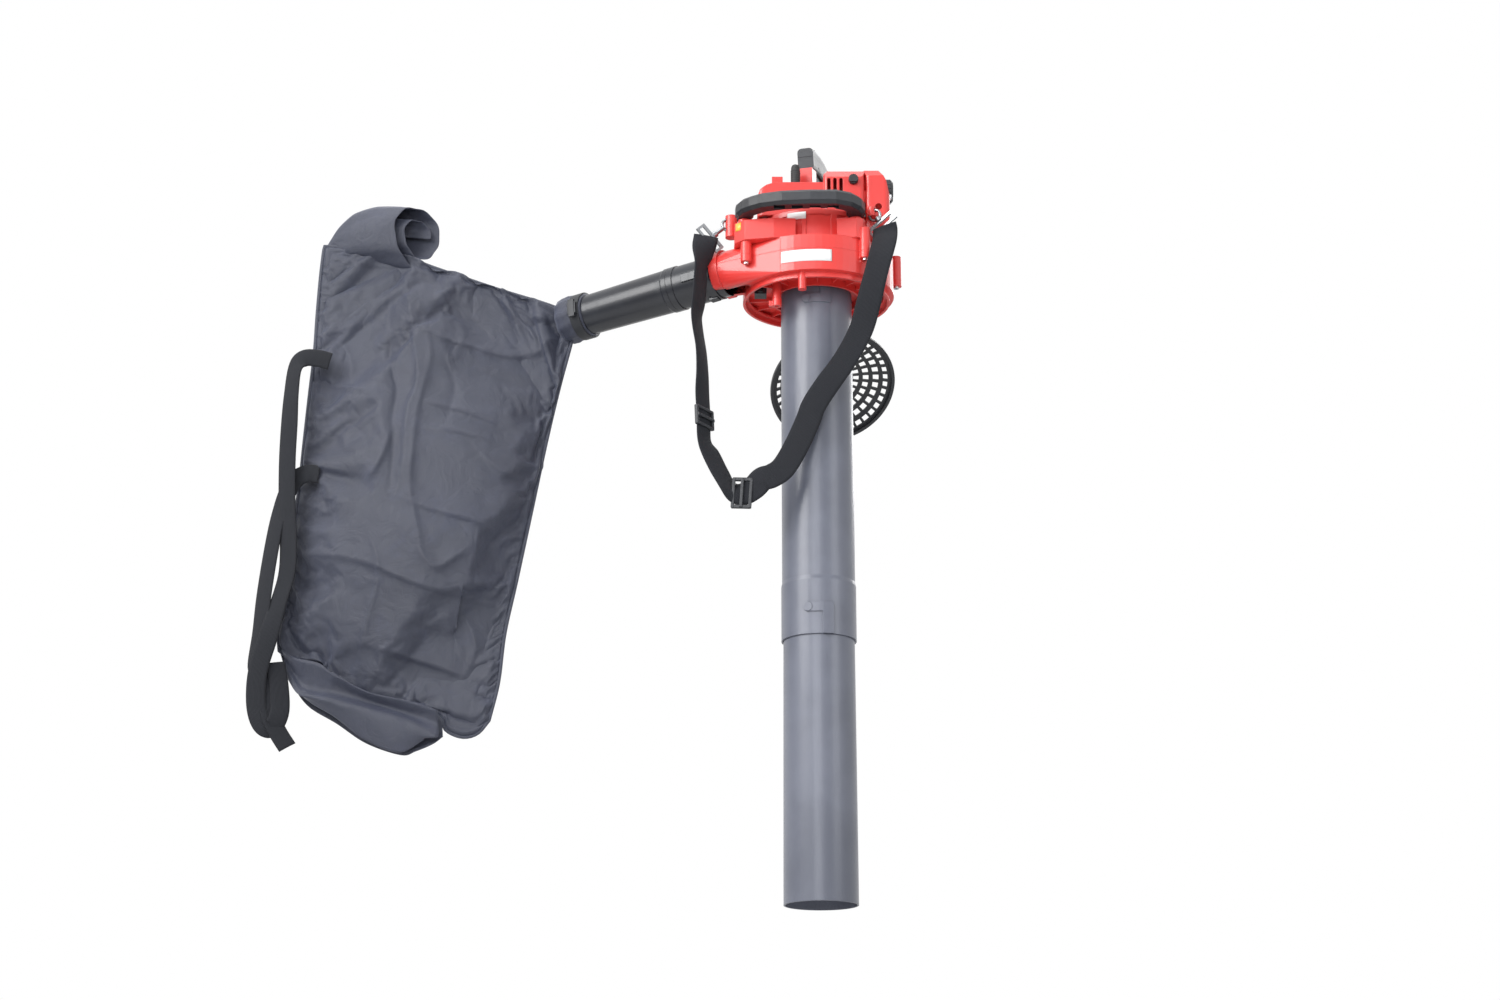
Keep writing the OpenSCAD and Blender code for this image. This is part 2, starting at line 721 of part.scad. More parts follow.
module piston() {
    color("#b9bcbf")
    difference() {
        cylinder_barrel(bore_r, 50.5, 20);
        cylinder_barrel(bore_r - 3, 49, 17);
        for (x = [66, 63]) translate([x, 0, crank_z]) rotate([0, 90, 0]) pipe(bore_r + 1, bore_r - 0.8, 1.2);
        translate([57, -30, crank_z]) rotate([-90, 0, 0]) cylinder(r = 4, h = 60);
    }
}

module spark_plug() {
    color("#d9d9d5")
    difference() {
        union() {
            cylinder_barrel(5 - pin_gap, 72.5, barrel_end - 72.5);
            translate([barrel_end, 0, crank_z]) rotate([0, 90, 0]) cylinder(r = 8.5, h = 6, $fn = 6);
            cylinder_barrel(5, barrel_end + 5.9, 10);
            cylinder_barrel(2.5, barrel_end + 15.8, 6);
        }
    }
}

module plug_boot() {
    color("#1d1d1f")
    difference() {
        union() {
            cylinder_barrel(7.5, barrel_end + 6.5, 18);
            translate([barrel_end + 19, 0, crank_z - 14.7]) cylinder(r1 = 4.5, r2 = 6, h = 15);
        }
        cylinder_barrel(5 + pin_gap, barrel_end, 16);
        cylinder_barrel(2.5 + pin_gap, barrel_end, 22.5);
    }
}

module ignition_coil() {
    color("#26282b")
    translate([-flywheel_r - 1.2, 0, flywheel_z]) {
        difference() {
            translate([-24, -14, -1]) cube([24, 28, 20]);
            translate([-7, -6, -2]) cube([8, 12, 30]);
            translate([flywheel_r + 1.2, 0, -2]) cylinder(r = flywheel_r + 0.6, h = 30);
        }
        translate([-12, 0, 18.5]) cylinder(r = 4, h = 4);
    }
    color("#26282b") for (y = [-10, 10]) translate([-flywheel_r - 19, y, scroll_top + 0.3])
        cylinder(r = 3.5, h = flywheel_z - scroll_top);
}

lead_line = [[-59.2, 0, 92.2], [-60.5, -8, 95], [-62, -25, 91], [-56, -50, 86], [-30, -74, 84], [10, -80, 84],
    [50, -68, 84], [72, -46, 84], [82, -30, 87], [88, -18, 91], [93, -8, 92], [96, -0.4, 96.4], [96, 0, 99.6]];

module ignition_lead() {
    color("#1b1b1d")
    sweep(lead_line, round_section(2.6, 8), [for (i = [0:len(lead_line) - 1])
        cross(heading(lead_line, i), abs(heading(lead_line, i)[2]) > 0.9 ? [1, 0, 0] : [0, 0, 1])]);
}

module muffler() {
    color("#9b9da0")
    difference() {
        union() {
            round_block([24, 66], [-68, -port_y - 2], [94, 150], 8);
            translate([50, -port_y - pin_gap, crank_z]) rotate([90, 0, 0]) cylinder(r = 12, h = 4);
            for (z = [104, 122, 140]) translate([0, 0, z]) linear_extrude(2) round_plan([23, 67], [-69, -port_y - 3], 8);
        }
        translate([50, 0, crank_z]) rotate([90, 0, 0]) cylinder(r = 8, h = 60);
        translate([34, -75, 96]) cube([10, 20, 5]);
    }
}

module insulator() {
    color("#3a2c22")
    difference() {
        translate([38, port_y + pin_gap, crank_z - 11]) cube([24, 10, 22]);
        translate([50, 0, crank_z]) rotate([-90, 0, 0]) cylinder(r = 8, h = 60);
    }
}

module carburettor() {
    color("#b3b5b8")
    difference() {
        union() {
            translate([35, port_y + 10 + 2 * pin_gap, crank_z - 16]) cube([30, 28, 32]);
            translate([50, port_y + 38, crank_z]) rotate([-90, 0, 0]) cylinder(r = 12, h = cover_y[1] - port_y - 35.8);
            translate([50, port_y + 22, crank_z + 16]) cylinder(r = 5, h = 5);
            translate([38, port_y + 16, crank_z - 20]) cube([24, 18, 4]);
        }
        translate([50, 0, crank_z]) rotate([-90, 0, 0]) cylinder(r = 8, h = 200);
    }
}

// ---------- air filter and fuel ----------

filter_x = [8, 68];
filter_z = [90, 152];
filter_y = cover_y[1] + seat;
filter_depth = 22;
primer_at = [20, filter_y + filter_depth, 100];
fknob_at = [50, filter_y + filter_depth, 122];

module filter_cover() {
    color("#26282c")
    difference() {
        translate([0, filter_y + filter_depth, 0]) rotate([90, 0, 0])
            linear_extrude(filter_depth) round_plan(filter_x, filter_z, 8);
        translate([0, filter_y + filter_depth - 3, 0]) rotate([90, 0, 0])
            linear_extrude(filter_depth) round_plan(filter_x + [3, -3], filter_z + [20, -3], 6);
        for (i = [0:5]) translate([14 + i * 5, filter_y + filter_depth - 6, 132]) cube([2.4, 10, 14]);
        translate([fknob_at[0], fknob_at[1] - 10, fknob_at[2]]) rotate([-90, 0, 0]) cylinder(r = 3 + pin_gap, h = 20);
        translate([primer_at[0], primer_at[1] - 9, primer_at[2]]) rotate([-90, 0, 0]) cylinder(r = 9.6, h = 20);
        translate([50, 0, crank_z]) rotate([-90, 0, 0]) cylinder(r = 12.4, h = filter_y + 4);
    }
}

module air_filter() {
    color("#55585c")
    difference() {
        translate([0, filter_y + 17, 0]) rotate([90, 0, 0]) linear_extrude(14.5)
            round_plan(filter_x + [4, -4], filter_z + [21.5, -4], 5);
        translate([fknob_at[0], 0, fknob_at[2]]) rotate([-90, 0, 0]) cylinder(r = 3.6, h = 200);
    }
}

module filter_knob() {
    color("#1f2124")
    translate(fknob_at) rotate([-90, 0, 0]) difference() {
        union() {
            translate([0, 0, seat]) cylinder(r = 9, h = 7);
            translate([0, 0, -8]) cylinder(r = 3, h = 9);
            translate([-11, -2, seat]) cube([22, 4, 8]);
        }
        for (i = [0:11]) rotate([0, 0, i * 30]) translate([9.6, 0, -1]) cylinder(r = 1.2, h = 12);
    }
}

module primer_bulb() {
    color("#4a4c50")
    translate(primer_at) rotate([-90, 0, 0]) {
        translate([0, 0, 0.5]) intersection() {
            translate([0, 0, -2]) sphere(r = 9);
            cylinder(r = 10, h = 12);
        }
        translate([0, 0, -5]) cylinder(r = 9.5, h = 5.5);
    }
}

module fuel_tank() {
    color("#2a2c30")
    difference() {
        union() {
            round_block([cover_x[1] + seat, tank_x], tank_y, tank_z, 7);
            round_block([tank_x - 16, tank_x], [tank_y[0] - 1, tank_y[0] + 39], [tank_z[1] - 20, 213], 7);
        }
        translate([0, 0, tank_z[0] - 1]) cylinder(r = neck_r + seat, h = neck_top + 1 - tank_z[0]);
        translate([cap_at[0] - 10, cap_at[1], cap_at[2]]) rotate([0, 90, 0]) cylinder(r = 13 + pin_gap, h = 20);
        cylinder_barrel(fin_r + 1, 60, 19);
    }
}

module fuel_cap() {
    color("#1e2023")
    translate(cap_at) rotate([0, 90, 0]) difference() {
        union() {
            translate([0, 0, seat]) cylinder(r = cap_r, h = 10);
            translate([0, 0, seat + 10]) cylinder(r1 = cap_r, r2 = cap_r - 4, h = 4);
            translate([0, 0, -8]) cylinder(r = 13, h = 9);
        }
        for (i = [0:17]) rotate([0, 0, i * 20]) translate([cap_r + 1.2, 0, -1]) cylinder(r = 2.2, h = 20);
        translate([-20, -9, seat + 11]) cube([40, 6, 8]);
        translate([-20, 3, seat + 11]) cube([40, 6, 8]);
    }
}

// ---------- recoil starter ----------

module starter_cup() {
    color("#8d9094")
    translate([0, 0, case_high + 2.6]) difference() {
        cylinder(r = 24, h = 2.4);
        for (i = [0:5]) rotate([0, 0, i * 60]) translate([17, 0, -1]) cylinder(r = 3.5, h = 5);
    }
}

module starter_housing() {
    color("#303236")
    difference() {
        union() {
            translate([0, 0, cover_top - cover_wall - 3.5]) cylinder(r = starter_r, h = 3.3);
            translate([0, 0, pulley_z + 0.8]) pipe(starter_r, starter_r - 2.5, cover_top - cover_wall - 3.3 - pulley_z);
            translate([0, 0, pulley_z - 0.5]) cylinder(r = post_r, h = cover_top - cover_wall - pulley_z);
        }
        translate([rope_x - 4, 0, pulley_z - 2]) cube([9, 80, pulley_h + 2.5]);
        for (i = [0:7]) rotate([0, 0, i * 45 + 10]) translate([20, -3, cover_top - 10]) cube([16, 6, 20]);
    }
}

module starter_pulley() {
    color("#d9d4c4")
    translate([0, 0, pulley_z]) difference() {
        union() {
            cylinder(r = pulley_flange, h = 2);
            translate([0, 0, pulley_h - 2]) cylinder(r = pulley_flange, h = 2);
            cylinder(r = pulley_r, h = pulley_h);
        }
        translate([0, 0, -1]) cylinder(r = post_r + pin_gap, h = 30);
        for (i = [0:4]) rotate([0, 0, i * 72]) translate([18, 0, -1]) cylinder(r = 6, h = 30);
    }
}

// a flat spiral of spring strip, from the post to the housing wall
module recoil_spring() {
    turns = 5;
    steps = turns * 20;
    inner = post_r + seat;
    pitch = (starter_r - 3.5 - inner) / turns;
    color("#5d6166")
    translate([0, 0, pulley_z + pulley_h + 0.4])
        linear_extrude(cover_top - cover_wall - 3.5 - pulley_z - pulley_h - 0.8) polygon(concat(
            [for (i = [0:steps]) let (r = inner + i * pitch / 20) [r * cos(i * 18), r * sin(i * 18)]],
            [for (i = [steps:-1:0]) let (r = inner + 0.9 + i * pitch / 20) [r * cos(i * 18), r * sin(i * 18)]]));
}

grip_y = cover_y[1] + 6;

module starter_rope() {
    color("#d8d8d0")
    translate([rope_x, 6, rope_z]) rotate([-90, 0, 0]) cylinder(r = rope_r, h = grip_y - 6, $fn = 24);
}

module rope_guide() {
    color("#c9cbce")
    translate([rope_x, cover_y[1] - cover_wall - 2, rope_z]) rotate([-90, 0, 0]) difference() {
        union() {
            cylinder(r = 4, h = cover_wall + 4);
            cylinder(r = 6, h = 1.8);
            translate([0, 0, cover_wall + 2.2]) cylinder(r = 6, h = 1.8);
        }
        translate([0, 0, -1]) cylinder(r = rope_r + 0.1, h = 30);
    }
}

module starter_grip() {
    color("#1c1d20")
    translate([rope_x, grip_y, rope_z]) difference() {
        union() {
            translate([-8, 0, -10]) cube([16, 6, 20]);
            translate([0, 11, -32]) cylinder(r = 7.5, h = 64);
            for (i = [0:6]) translate([0, 11, -28 + i * 9]) cylinder(r = 8.3, h = 2);
        }
        translate([0, -1, 0]) rotate([-90, 0, 0]) cylinder(r = rope_r + 0.1, h = 1.01);
    }
}

// ---------- covers ----------

module cover_form(inset) {
    top = cover_top - inset;
    intersection() {
        union() {
            round_block(cover_x + [inset, -inset], cover_y + [inset, -inset], [neck_top, top], 10);
            round_block([block_x + inset, cover_x[1] - inset], [block_y + inset, 60 - inset],
                [neck_top, block_top - inset], 6);
        }
        translate([0, 0, neck_top - 1]) union() {
            round_block([-cover_x[1] - 40, cover_x[1]], [-88, cover_y[1]] + [inset, -inset], [0, 100], 60 - inset);
            translate([0, -88, 0]) cube([200, 300, 100]);
        }
        translate([0, 300, 0]) rotate([90, 0, 0]) linear_extrude(600) polygon([
            [cover_x[0] + inset, neck_top], [cover_x[0] + inset, cover_top - 22], [cover_x[0] + inset + 4, cover_top - 11],
            [cover_x[0] + 14, cover_top - 4 - inset], [cover_x[0] + 26, top], [block_x + inset, top],
            [block_x + inset, block_top - 7], [block_x + 6, top + block_top - cover_top],
            [cover_x[1] - inset, top + block_top - cover_top], [cover_x[1] - inset, neck_top]]);
        translate([-300, 0, 0]) rotate([90, 0, 90]) linear_extrude(600) polygon([
            [block_y + inset, neck_top], [block_y + inset, block_top - 12], [block_y + 8, block_top - inset],
            [-52, block_top - inset], [-30, top + 4], [60, top], [cover_y[1] - 10, top], [cover_y[1] - inset, cover_top - 9],
            [cover_y[1] - inset, neck_top]]);
    }
}

module handle_frame() {
    translate([handle_at[0], handle_at[1], 0]) rotate([0, 0, handle_yaw]) children();
}

module engine_cover() {
    color("#d8352a")
    difference() {
        union() {
            cover_form(0);
            handle_frame() translate([0, 11, 0]) rotate([90, 0, 0]) linear_extrude(22) polygon([
                [-4, cover_top - 8], [21, cover_top - 8], [21, 204.1], [3.3, 200.5], [-4, 200.5]]);
            translate([-66, -56, cover_top - 20]) cube([16, 10, 36]);
            translate([-53, -62, cover_top - 20]) cube([31, 8, 24]);
        }
        difference() {
            translate([0, 0, -0.01]) cover_form(cover_wall);
            for (p = cover_posts) translate([p[0], p[1], neck_top - 2]) cylinder(r = 6, h = 80);
        }
        for (p = cover_posts) translate([p[0], p[1], neck_top - 2]) cylinder(r = screw_hole_r, h = 24);
        for (i = [0:2]) translate([block_x + 8 + i * 9, block_y - 5, 144]) round_slot(5, 12, 26);
        for (i = [0:6]) translate([-80 + i * 10, cover_y[1] - 12, 126]) round_slot(4, 30, 22);
        for (i = [0:4]) translate([cover_x[0] - 5, 40 + i * -14, 126]) rotate([0, 0, 90])
            translate([0, -14, 0]) round_slot(5, 16, 20);
        translate([cover_x[1] - 10, -40, neck_top - 1]) cube([30, 80, crank_z + 34 - neck_top]);
        translate([50, 60, crank_z]) rotate([-90, 0, 0]) cylinder(r = 12.5, h = 60);
        translate([rope_x, cover_y[1] - 20, rope_z]) rotate([-90, 0, 0]) cylinder(r = 4 + pin_gap, h = 40);
        translate([choke_at[0], block_y - 5, choke_at[2]]) rotate([-90, 0, 0]) cylinder(r = 3 + pin_gap, h = 15);
        handle_frame() translate([10, 0, 150]) cylinder(r = screw_hole_r, h = 80);
        handle_frame() translate([10, 0, 150]) cylinder(r = screw_head_r + 0.3, h = 40);
    }
}

// a slot through a wall, along Y
module round_slot(w, depth, h) {
    translate([0, 0, w / 2]) rotate([-90, 0, 0]) cylinder(r = w / 2, h = depth);
    translate([0, 0, h - w / 2]) rotate([-90, 0, 0]) cylinder(r = w / 2, h = depth);
    translate([-w / 2, 0, w / 2]) cube([w, depth, h - w]);
}

module side_form(inset) {
    intersection() {
        round_block([cover_x[1] + seat + (inset > 0 ? -5 : 0), side_x - inset], side_y + [inset, -inset],
            side_z + [inset, -inset], 9 - inset);
        translate([0, 300, 0]) rotate([90, 0, 0]) linear_extrude(600) polygon([
            [0, 0], [side_x - 12 - inset, 0], [side_x - inset, side_z[0] + 30], [side_x - inset, crank_z + 30],
            [side_x - 5 - inset, side_z[1] - 20], [side_x - 16 - inset, side_z[1] - inset], [0, side_z[1] - inset]]);
        translate([-300, 0, 0]) rotate([90, 0, 90]) linear_extrude(600) polygon([
            [side_y[0] + inset + 26, 0], [side_y[0] + inset, side_z[0] + 34], [side_y[0] + inset, side_z[1] - 12],
            [side_y[0] + inset + 10, side_z[1] - inset], [side_y[1] - inset, side_z[1] - inset], [side_y[1] - inset, 0]]);
    }
}

module side_cover() {
    color("#d8352a")
    difference() {
        union() {
            side_form(0);
            translate([lug_right[0] - 6, lug_right[1], lug_right[2] - 7]) cube([12, 14, 14]);
            translate([lug_right[0], lug_right[1], lug_right[2] - 7]) cylinder(r = 6, h = 14);
        }
        side_form(cover_wall);
        translate([0, 0, side_z[0] - 1]) cylinder(r = neck_r + seat, h = neck_top + 1 - side_z[0]);
        translate([cover_x[1] - 5, side_y[1] - cover_wall - 1, 88]) cube([side_x - cover_x[1] + 2, 8, crank_z + fin_r - 87]);
        hook_ring(lug_right, eye_right, ring_t + 1);
        translate([91, side_y[0] - 5, 126]) rotate([-90, 0, 0]) cylinder(r = 5, h = 15);
        translate([99, side_y[0] + 22, 150]) rotate([0, 90, 0]) cylinder(r = screw_hole_r, h = 30);
    }
}

module cover_screws() {
    color("#9a9ca0") {
        for (p = cover_posts) translate([p[0], p[1], pad_z]) screw(24, true);
        handle_frame() translate([10, 0, 190]) screw(19, true);
        translate([side_x + seat, side_y[0] + 22, 150]) rotate([0, 90, 0]) screw(7, false);
    }
}

module choke_knob() {
    color("#202226")
    translate(choke_at) rotate([90, 0, 0]) difference() {
        union() {
            translate([0, 0, seat]) cylinder(r = 7, h = 8);
            translate([0, 0, -9]) cylinder(r = 3, h = 10);
        }
        translate([-8, -8, 5]) cube([16, 3, 10]);
        for (i = [0:13]) rotate([0, 0, i * 360 / 14]) translate([7.5, 0, 0]) cylinder(r = 0.9, h = 12);
    }
}

// ---------- top handle ----------

function spine_3d() = [for (p = spine) [p[0], 0, p[1]]];

// a length of the handle between two levels of its section, with its outer edges rounded
module handle_sweep(from, to, round_low, round_high) {
    line = spine_3d();
    w = handle_w / 2;
    section = concat(
        round_high > 0 ? [for (a = [0:30:90]) [w - round_high * (1 - cos(a)), to - round_high * (1 - sin(a))]]
            : [[w, to]],
        round_high > 0 ? [for (a = [90:30:180]) [round_high * (1 + cos(a)) - w, to - round_high * (1 - sin(a))]]
            : [[-w, to]],
        round_low > 0 ? [for (a = [180:30:270]) [round_low * (1 + cos(a)) - w, from + round_low * (1 + sin(a))]]
            : [[-w, from]],
        round_low > 0 ? [for (a = [270:30:360]) [w - round_low * (1 - cos(a)), from + round_low * (1 + sin(a))]]
            : [[w, from]]);
    handle_frame() sweep(line, section, [for (p = line) [0, 1, 0]]);
}

module handle_body() {
    color("#2c2e33")
    difference() {
        handle_sweep(-handle_h / 2, seam_drop, 6, 0);
        handle_frame() {
            translate([trigger_pivot[0] - 4, -6.5, 195]) cube([64, 13, 27]);
            translate([trigger_pivot[0], 20, trigger_pivot[1]]) rotate([90, 0, 0]) cylinder(r = 2 + pin_gap, h = 40);
            translate([10, 0, 190]) cylinder(r = screw_hole_r, h = 22);
            translate([5.4, 5, 206]) cube([17.2, 12, 9]);
        }
    }
}

module handle_cap() {
    color("#2c2e33")
    difference() {
        handle_sweep(seam_drop + 0.15, handle_h / 2, 0, 6);
        handle_frame() {
            translate([lock_pivot[0] - 5, -4.5, 231.2]) cube([84, 9, 20]);
            translate([lock_pivot[0], 20, lock_pivot[1]]) rotate([90, 0, 0]) cylinder(r = 2 + pin_gap, h = 40);
        }
    }
}

module throttle_trigger() {
    color("#17181a")
    handle_frame() difference() {
        union() {
            translate([0, 6, 0]) rotate([90, 0, 0]) linear_extrude(12) polygon([
                [trigger_pivot[0] - 3, 218], [trigger_pivot[0] + 6, 219], [trigger_pivot[0] + 50, 214],
                [trigger_pivot[0] + 56, 208], [trigger_pivot[0] + 54, 199], [trigger_pivot[0] + 40, 195],
                [trigger_pivot[0] + 22, 196], [trigger_pivot[0] + 6, 199], [trigger_pivot[0] - 3, 203]]);
        }
        translate([trigger_pivot[0], 20, trigger_pivot[1]]) rotate([90, 0, 0]) cylinder(r = 2 + pin_gap, h = 40);
    }
    color("#9a9ca0")
    handle_frame() translate([trigger_pivot[0], 10, trigger_pivot[1]]) rotate([90, 0, 0]) cylinder(r = 2, h = 20);
}

module throttle_lock() {
    color("#17181a")
    handle_frame() translate([0, 4, 0]) rotate([90, 0, 0]) linear_extrude(8) polygon([
        [lock_pivot[0] - 3, 233], [lock_pivot[0] - 3, 240], [lock_pivot[0] + 14, 245.5], [lock_pivot[0] + 40, 248.5],
        [lock_pivot[0] + 64, 248], [lock_pivot[0] + 76, 245], [lock_pivot[0] + 76, 242],
        [lock_pivot[0] + 60, 242], [lock_pivot[0] + 36, 242], [lock_pivot[0] + 14, 240], [lock_pivot[0] + 3, 233]]);
    color("#17181a")
    handle_frame() translate([lock_pivot[0], 0, lock_pivot[1]]) rotate([90, 0, 0]) {
        translate([0, 0, -4]) cylinder(r = 3.4, h = 8);
        translate([0, 0, -10]) cylinder(r = 2, h = 20);
    }
}

module stop_switch() {
    color("#b01c17")
    handle_frame() translate([14, handle_w / 2 - 6.7, 210.5]) rotate([-90, 0, 0]) difference() {
        translate([-5, -3.5, 0]) cube([10, 7, 9]);
        translate([-6, 0, 10.5]) rotate([0, 90, 0]) cylinder(r = 3, h = 12);
    }
}

cable_line = [[24, 86, 161], [27, 86, 156], [33, 82, 151], [40, 74, 147], [46, 64, 143], [50, 56, 139.5],
    [50, 56, crank_z + 21.1]];

module throttle_cable() {
    color("#151618")
    sweep(cable_line, round_section(2.5, 8), [for (p = cable_line) [1, -0.5, 0]]);
}

// ---------- front handle ----------

function bar_3d() = [for (p = bar_line) [p[0], p[1], bar_z]];

module front_handle() {
    line = bar_3d();
    color("#2c2e33")
    difference() {
        union() {
            sweep(line, soft_section(bar_t, bar_h, 5), [for (i = [0:len(line) - 1]) cross(heading(line, i), [0, 0, 1])]);
            for (end = bar_ends) translate([end[0], end[1], bar_low]) cylinder(r = 11, h = bar_h - 4);
        }
        for (end = bar_ends) translate([end[0], end[1], bar_low - 1]) {
            cylinder(r = screw_hole_r, h = bar_h);
            translate([0, 0, 14]) cylinder(r = screw_head_r + 0.5, h = bar_h);
        }
        for (x = [-64, -38, -12, 14]) translate([x, -138, bar_z - bar_h / 2 - 1]) cube([16, 12, 7]);
    }
}

module front_handle_screws() {
    color("#9a9ca0")
    for (end = bar_ends) translate([end[0], end[1], bar_low + 13]) screw(boss_h + 10, false);
}

// ---------- intake guard ----------

module bowl_shell(extra) {
    translate([0, 0, bowl_r - guard_depth]) difference() {
        sphere(r = bowl_r + extra, $fn = 180);
        sphere(r = bowl_r - guard_wall, $fn = 180);
    }
}

// the bowl as it closes the intake, its hollow facing up, its rim level at zero
module guard_bowl() {
    difference() {
        union() {
            intersection() {
                bowl_shell(0);
                translate([0, 0, -guard_depth - 5]) cylinder(r = guard_r - 1, h = guard_depth + 4);
            }
            translate([0, 0, -2]) pipe(guard_r, guard_r - rim_w, rim_h);
        }
        for (row = window_rows) {
            n = round(guard_windows * row[2]);
            for (i = [0:n - 1]) rotate([0, 0, i * 360 / n])
                translate([0, 0, -guard_depth - 5]) sector(row[0], row[1], guard_depth + 3, 0, 360 / n * 0.68);
        }
    }
}

module intake_guard() {
    color("#2b2d31")
    hinge_frame() rotate([guard_open, 0, 0]) difference() {
        union() {
            rotate([0, -hinge_skew, 0]) translate(guard_centre) {
                guard_bowl();
                translate([-6, -guard_r - 5, -2]) cube([12, 7, 5]);
                for (x = [-26, 14]) translate([x, -70, -19]) cylinder(r = 4.5, h = 12);
                translate([-19, guard_r - 6, -2]) cube([44, hinge_at[1] - guard_r + 1, 4]);
            }
            translate([-18.5, 0, 0]) rotate([0, 90, 0]) cylinder(r = knuckle_r, h = 43);
            translate([-17, -6, -12]) cube([40, 8, 12]);
        }
        translate([-50, 0, 0]) rotate([0, 90, 0]) cylinder(d = hinge_pin_d + 2 * pin_gap, h = 100);
    }
}

module hinge_pin() {
    color("#a8aaad")
    hinge_frame() {
        translate([-31, 0, 0]) rotate([0, 90, 0]) cylinder(d = hinge_pin_d, h = 70);
        translate([-33, 0, 0]) rotate([0, 90, 0]) cylinder(d = hinge_pin_d + 3, h = 2);
    }
}

module guard_knob() {
    color("#d8352a")
    translate(knob_at) {
        difference() {
            union() {
                translate([0, 0, -12]) cylinder(r = 7, h = 12 - seat);
                translate([-12, -3, -12]) cube([12, 6, 8]);
            }
            translate([0, 0, -13]) cylinder(r = 3, h = 3, $fn = 6);
        }
    }
    color("#a8aaad") translate(knob_at) translate([0, 0, -1]) cylinder(r = 2.5, h = 17);
}

module interlock_switch() {
    color("#202226") {
        translate([-92, -30, recess_depth - 11]) cube([18, 22, 10.7]);
        translate([-86, -34, recess_depth - 9]) cube([6, 4.1, 5]);
    }
}

// ---------- discharge side ----------

module discharge_adapter() {
    color("#25272b")
    at_outlet() difference() {
        union() {
            translate([0, 0, -ring_l + 2]) cylinder(r = outlet_r - 0.1, h = ring_l + adapter_l - 2);
            translate([0, 0, seat]) cylinder(r = outlet_r + 1.6, h = 12);
            translate([-4, outlet_r - 6, 22]) cube([12, 8, 26]);
            translate([outlet_r - 3, -6, 4]) cube([6, 12, 14]);
            translate([0, 0, adapter_l - 10]) cylinder(r = outlet_r + 1.2, h = 10);
        }
        translate([0, 0, -ring_l - 1]) cylinder(r = outlet_r - 2.6, h = adapter_l + ring_l - 20);
        translate([0, 0, adapter_l - 24]) cylinder(r = outlet_r - 2, h = 40);
    }
}

module discharge_tube() {
    r0 = outlet_r - 2.1;
    color("#25272b")
    at_outlet() difference() {
        rotate_extrude() polygon([
            [1, adapter_l - 23], [r0, adapter_l - 23], [r0, adapter_l + seat], [outlet_r + 1.2, adapter_l + seat],
            [outlet_r + 1.2, adapter_l + 8], [outlet_r, adapter_l + 10], [discharge_r, adapter_l + discharge_l - 45],
            [discharge_r, adapter_l + discharge_l], [1, adapter_l + discharge_l]]);
        translate([0, 0, adapter_l - 30]) cylinder(r1 = r0 - 2, r2 = discharge_r - 2, h = 40);
        translate([0, 0, adapter_l]) cylinder(r = discharge_r - 2, h = big);
    }
}

module bag() {
    color("#5b6068")
    difference() {
        union() {
            hull() {
                for (s = bag_corners)
                    translate([s[0], s[1], s[2]]) scale([1, s[4], 1]) sphere(r = s[3], $fn = 24);
                at_outlet() translate([0, 0, bag_mouth + 22]) cylinder(r = cuff_r + 4, h = 2, $fn = 32);
            }
            at_outlet() translate([0, 0, bag_mouth]) cylinder(r = cuff_r, h = 30);
        }
        at_outlet() translate([0, 0, bag_mouth - 10]) cylinder(r = discharge_r + seat, h = bag_hold + 12);
    }
}

module bag_clamp() {
    r = cuff_r + seat;
    color("#1c1d20")
    at_outlet() translate([0, 0, bag_mouth + 3]) {
        difference() {
            union() {
                pipe(r + 2, r, 16);
                translate([-9, r - 1, 1]) cube([18, 8, 14]);
                translate([-14, r + 4, 3]) cube([28, 4, 10]);
            }
            translate([0, 0, -1]) cylinder(r = r, h = 30);
        }
    }
}

module bag_strap() {
    color("#3c3f45")
    sweep(bag_strap_line, flat_section(bag_strap_w, webbing_t),
        [for (i = [0:len(bag_strap_line) - 1]) [1, -0.2, 0.1]]);
}

// ---------- shoulder strap ----------

module shoulder_strap() {
    n = len(strap_line);
    color("#46494f")
    sweep(strap_line, flat_section(strap_w, webbing_t),
        [for (i = [0:n - 1])
            let (t = heading(strap_line, i)) cross(t, strap_face(i))]);
}

// the round wire eye of a hook, hanging through its lug
module hook_ring(lug, eye, wire) {
    along(lug, eye) translate([0, 0, 8]) rotate([90, 0, 0]) rotate_extrude()
        translate([8, 0]) circle(r = wire);
}

module snap_hook(lug, eye) {
    l = norm(eye - lug);
    color("#b9bbbe") {
        hook_ring(lug, eye, ring_t);
        along(lug, eye) difference() {
            union() {
                translate([0, 0, 15.5]) cylinder(r = 3, h = l - 29);
                translate([0, 0, l - 20]) cylinder(r = 5, h = 6);
                translate([-strap_w / 2 - 4, -2, l - 15]) cube([strap_w + 8, 4, 15]);
            }
            translate([-strap_w / 2 - 0.5, -5, l - 11]) cube([strap_w + 1, 10, 7.5]);
        }
    }
}

module snap_hook_left() snap_hook(lug_left, eye_left);

module snap_hook_right() snap_hook(lug_right, eye_right);

// the way the webbing faces: along the hooks' plates at its ends
function strap_face(i) = i < 3 ? [0.26, -0.97, 0] : i > len(strap_line) - 5 ? [-0.39, -0.92, 0] : strap_front;

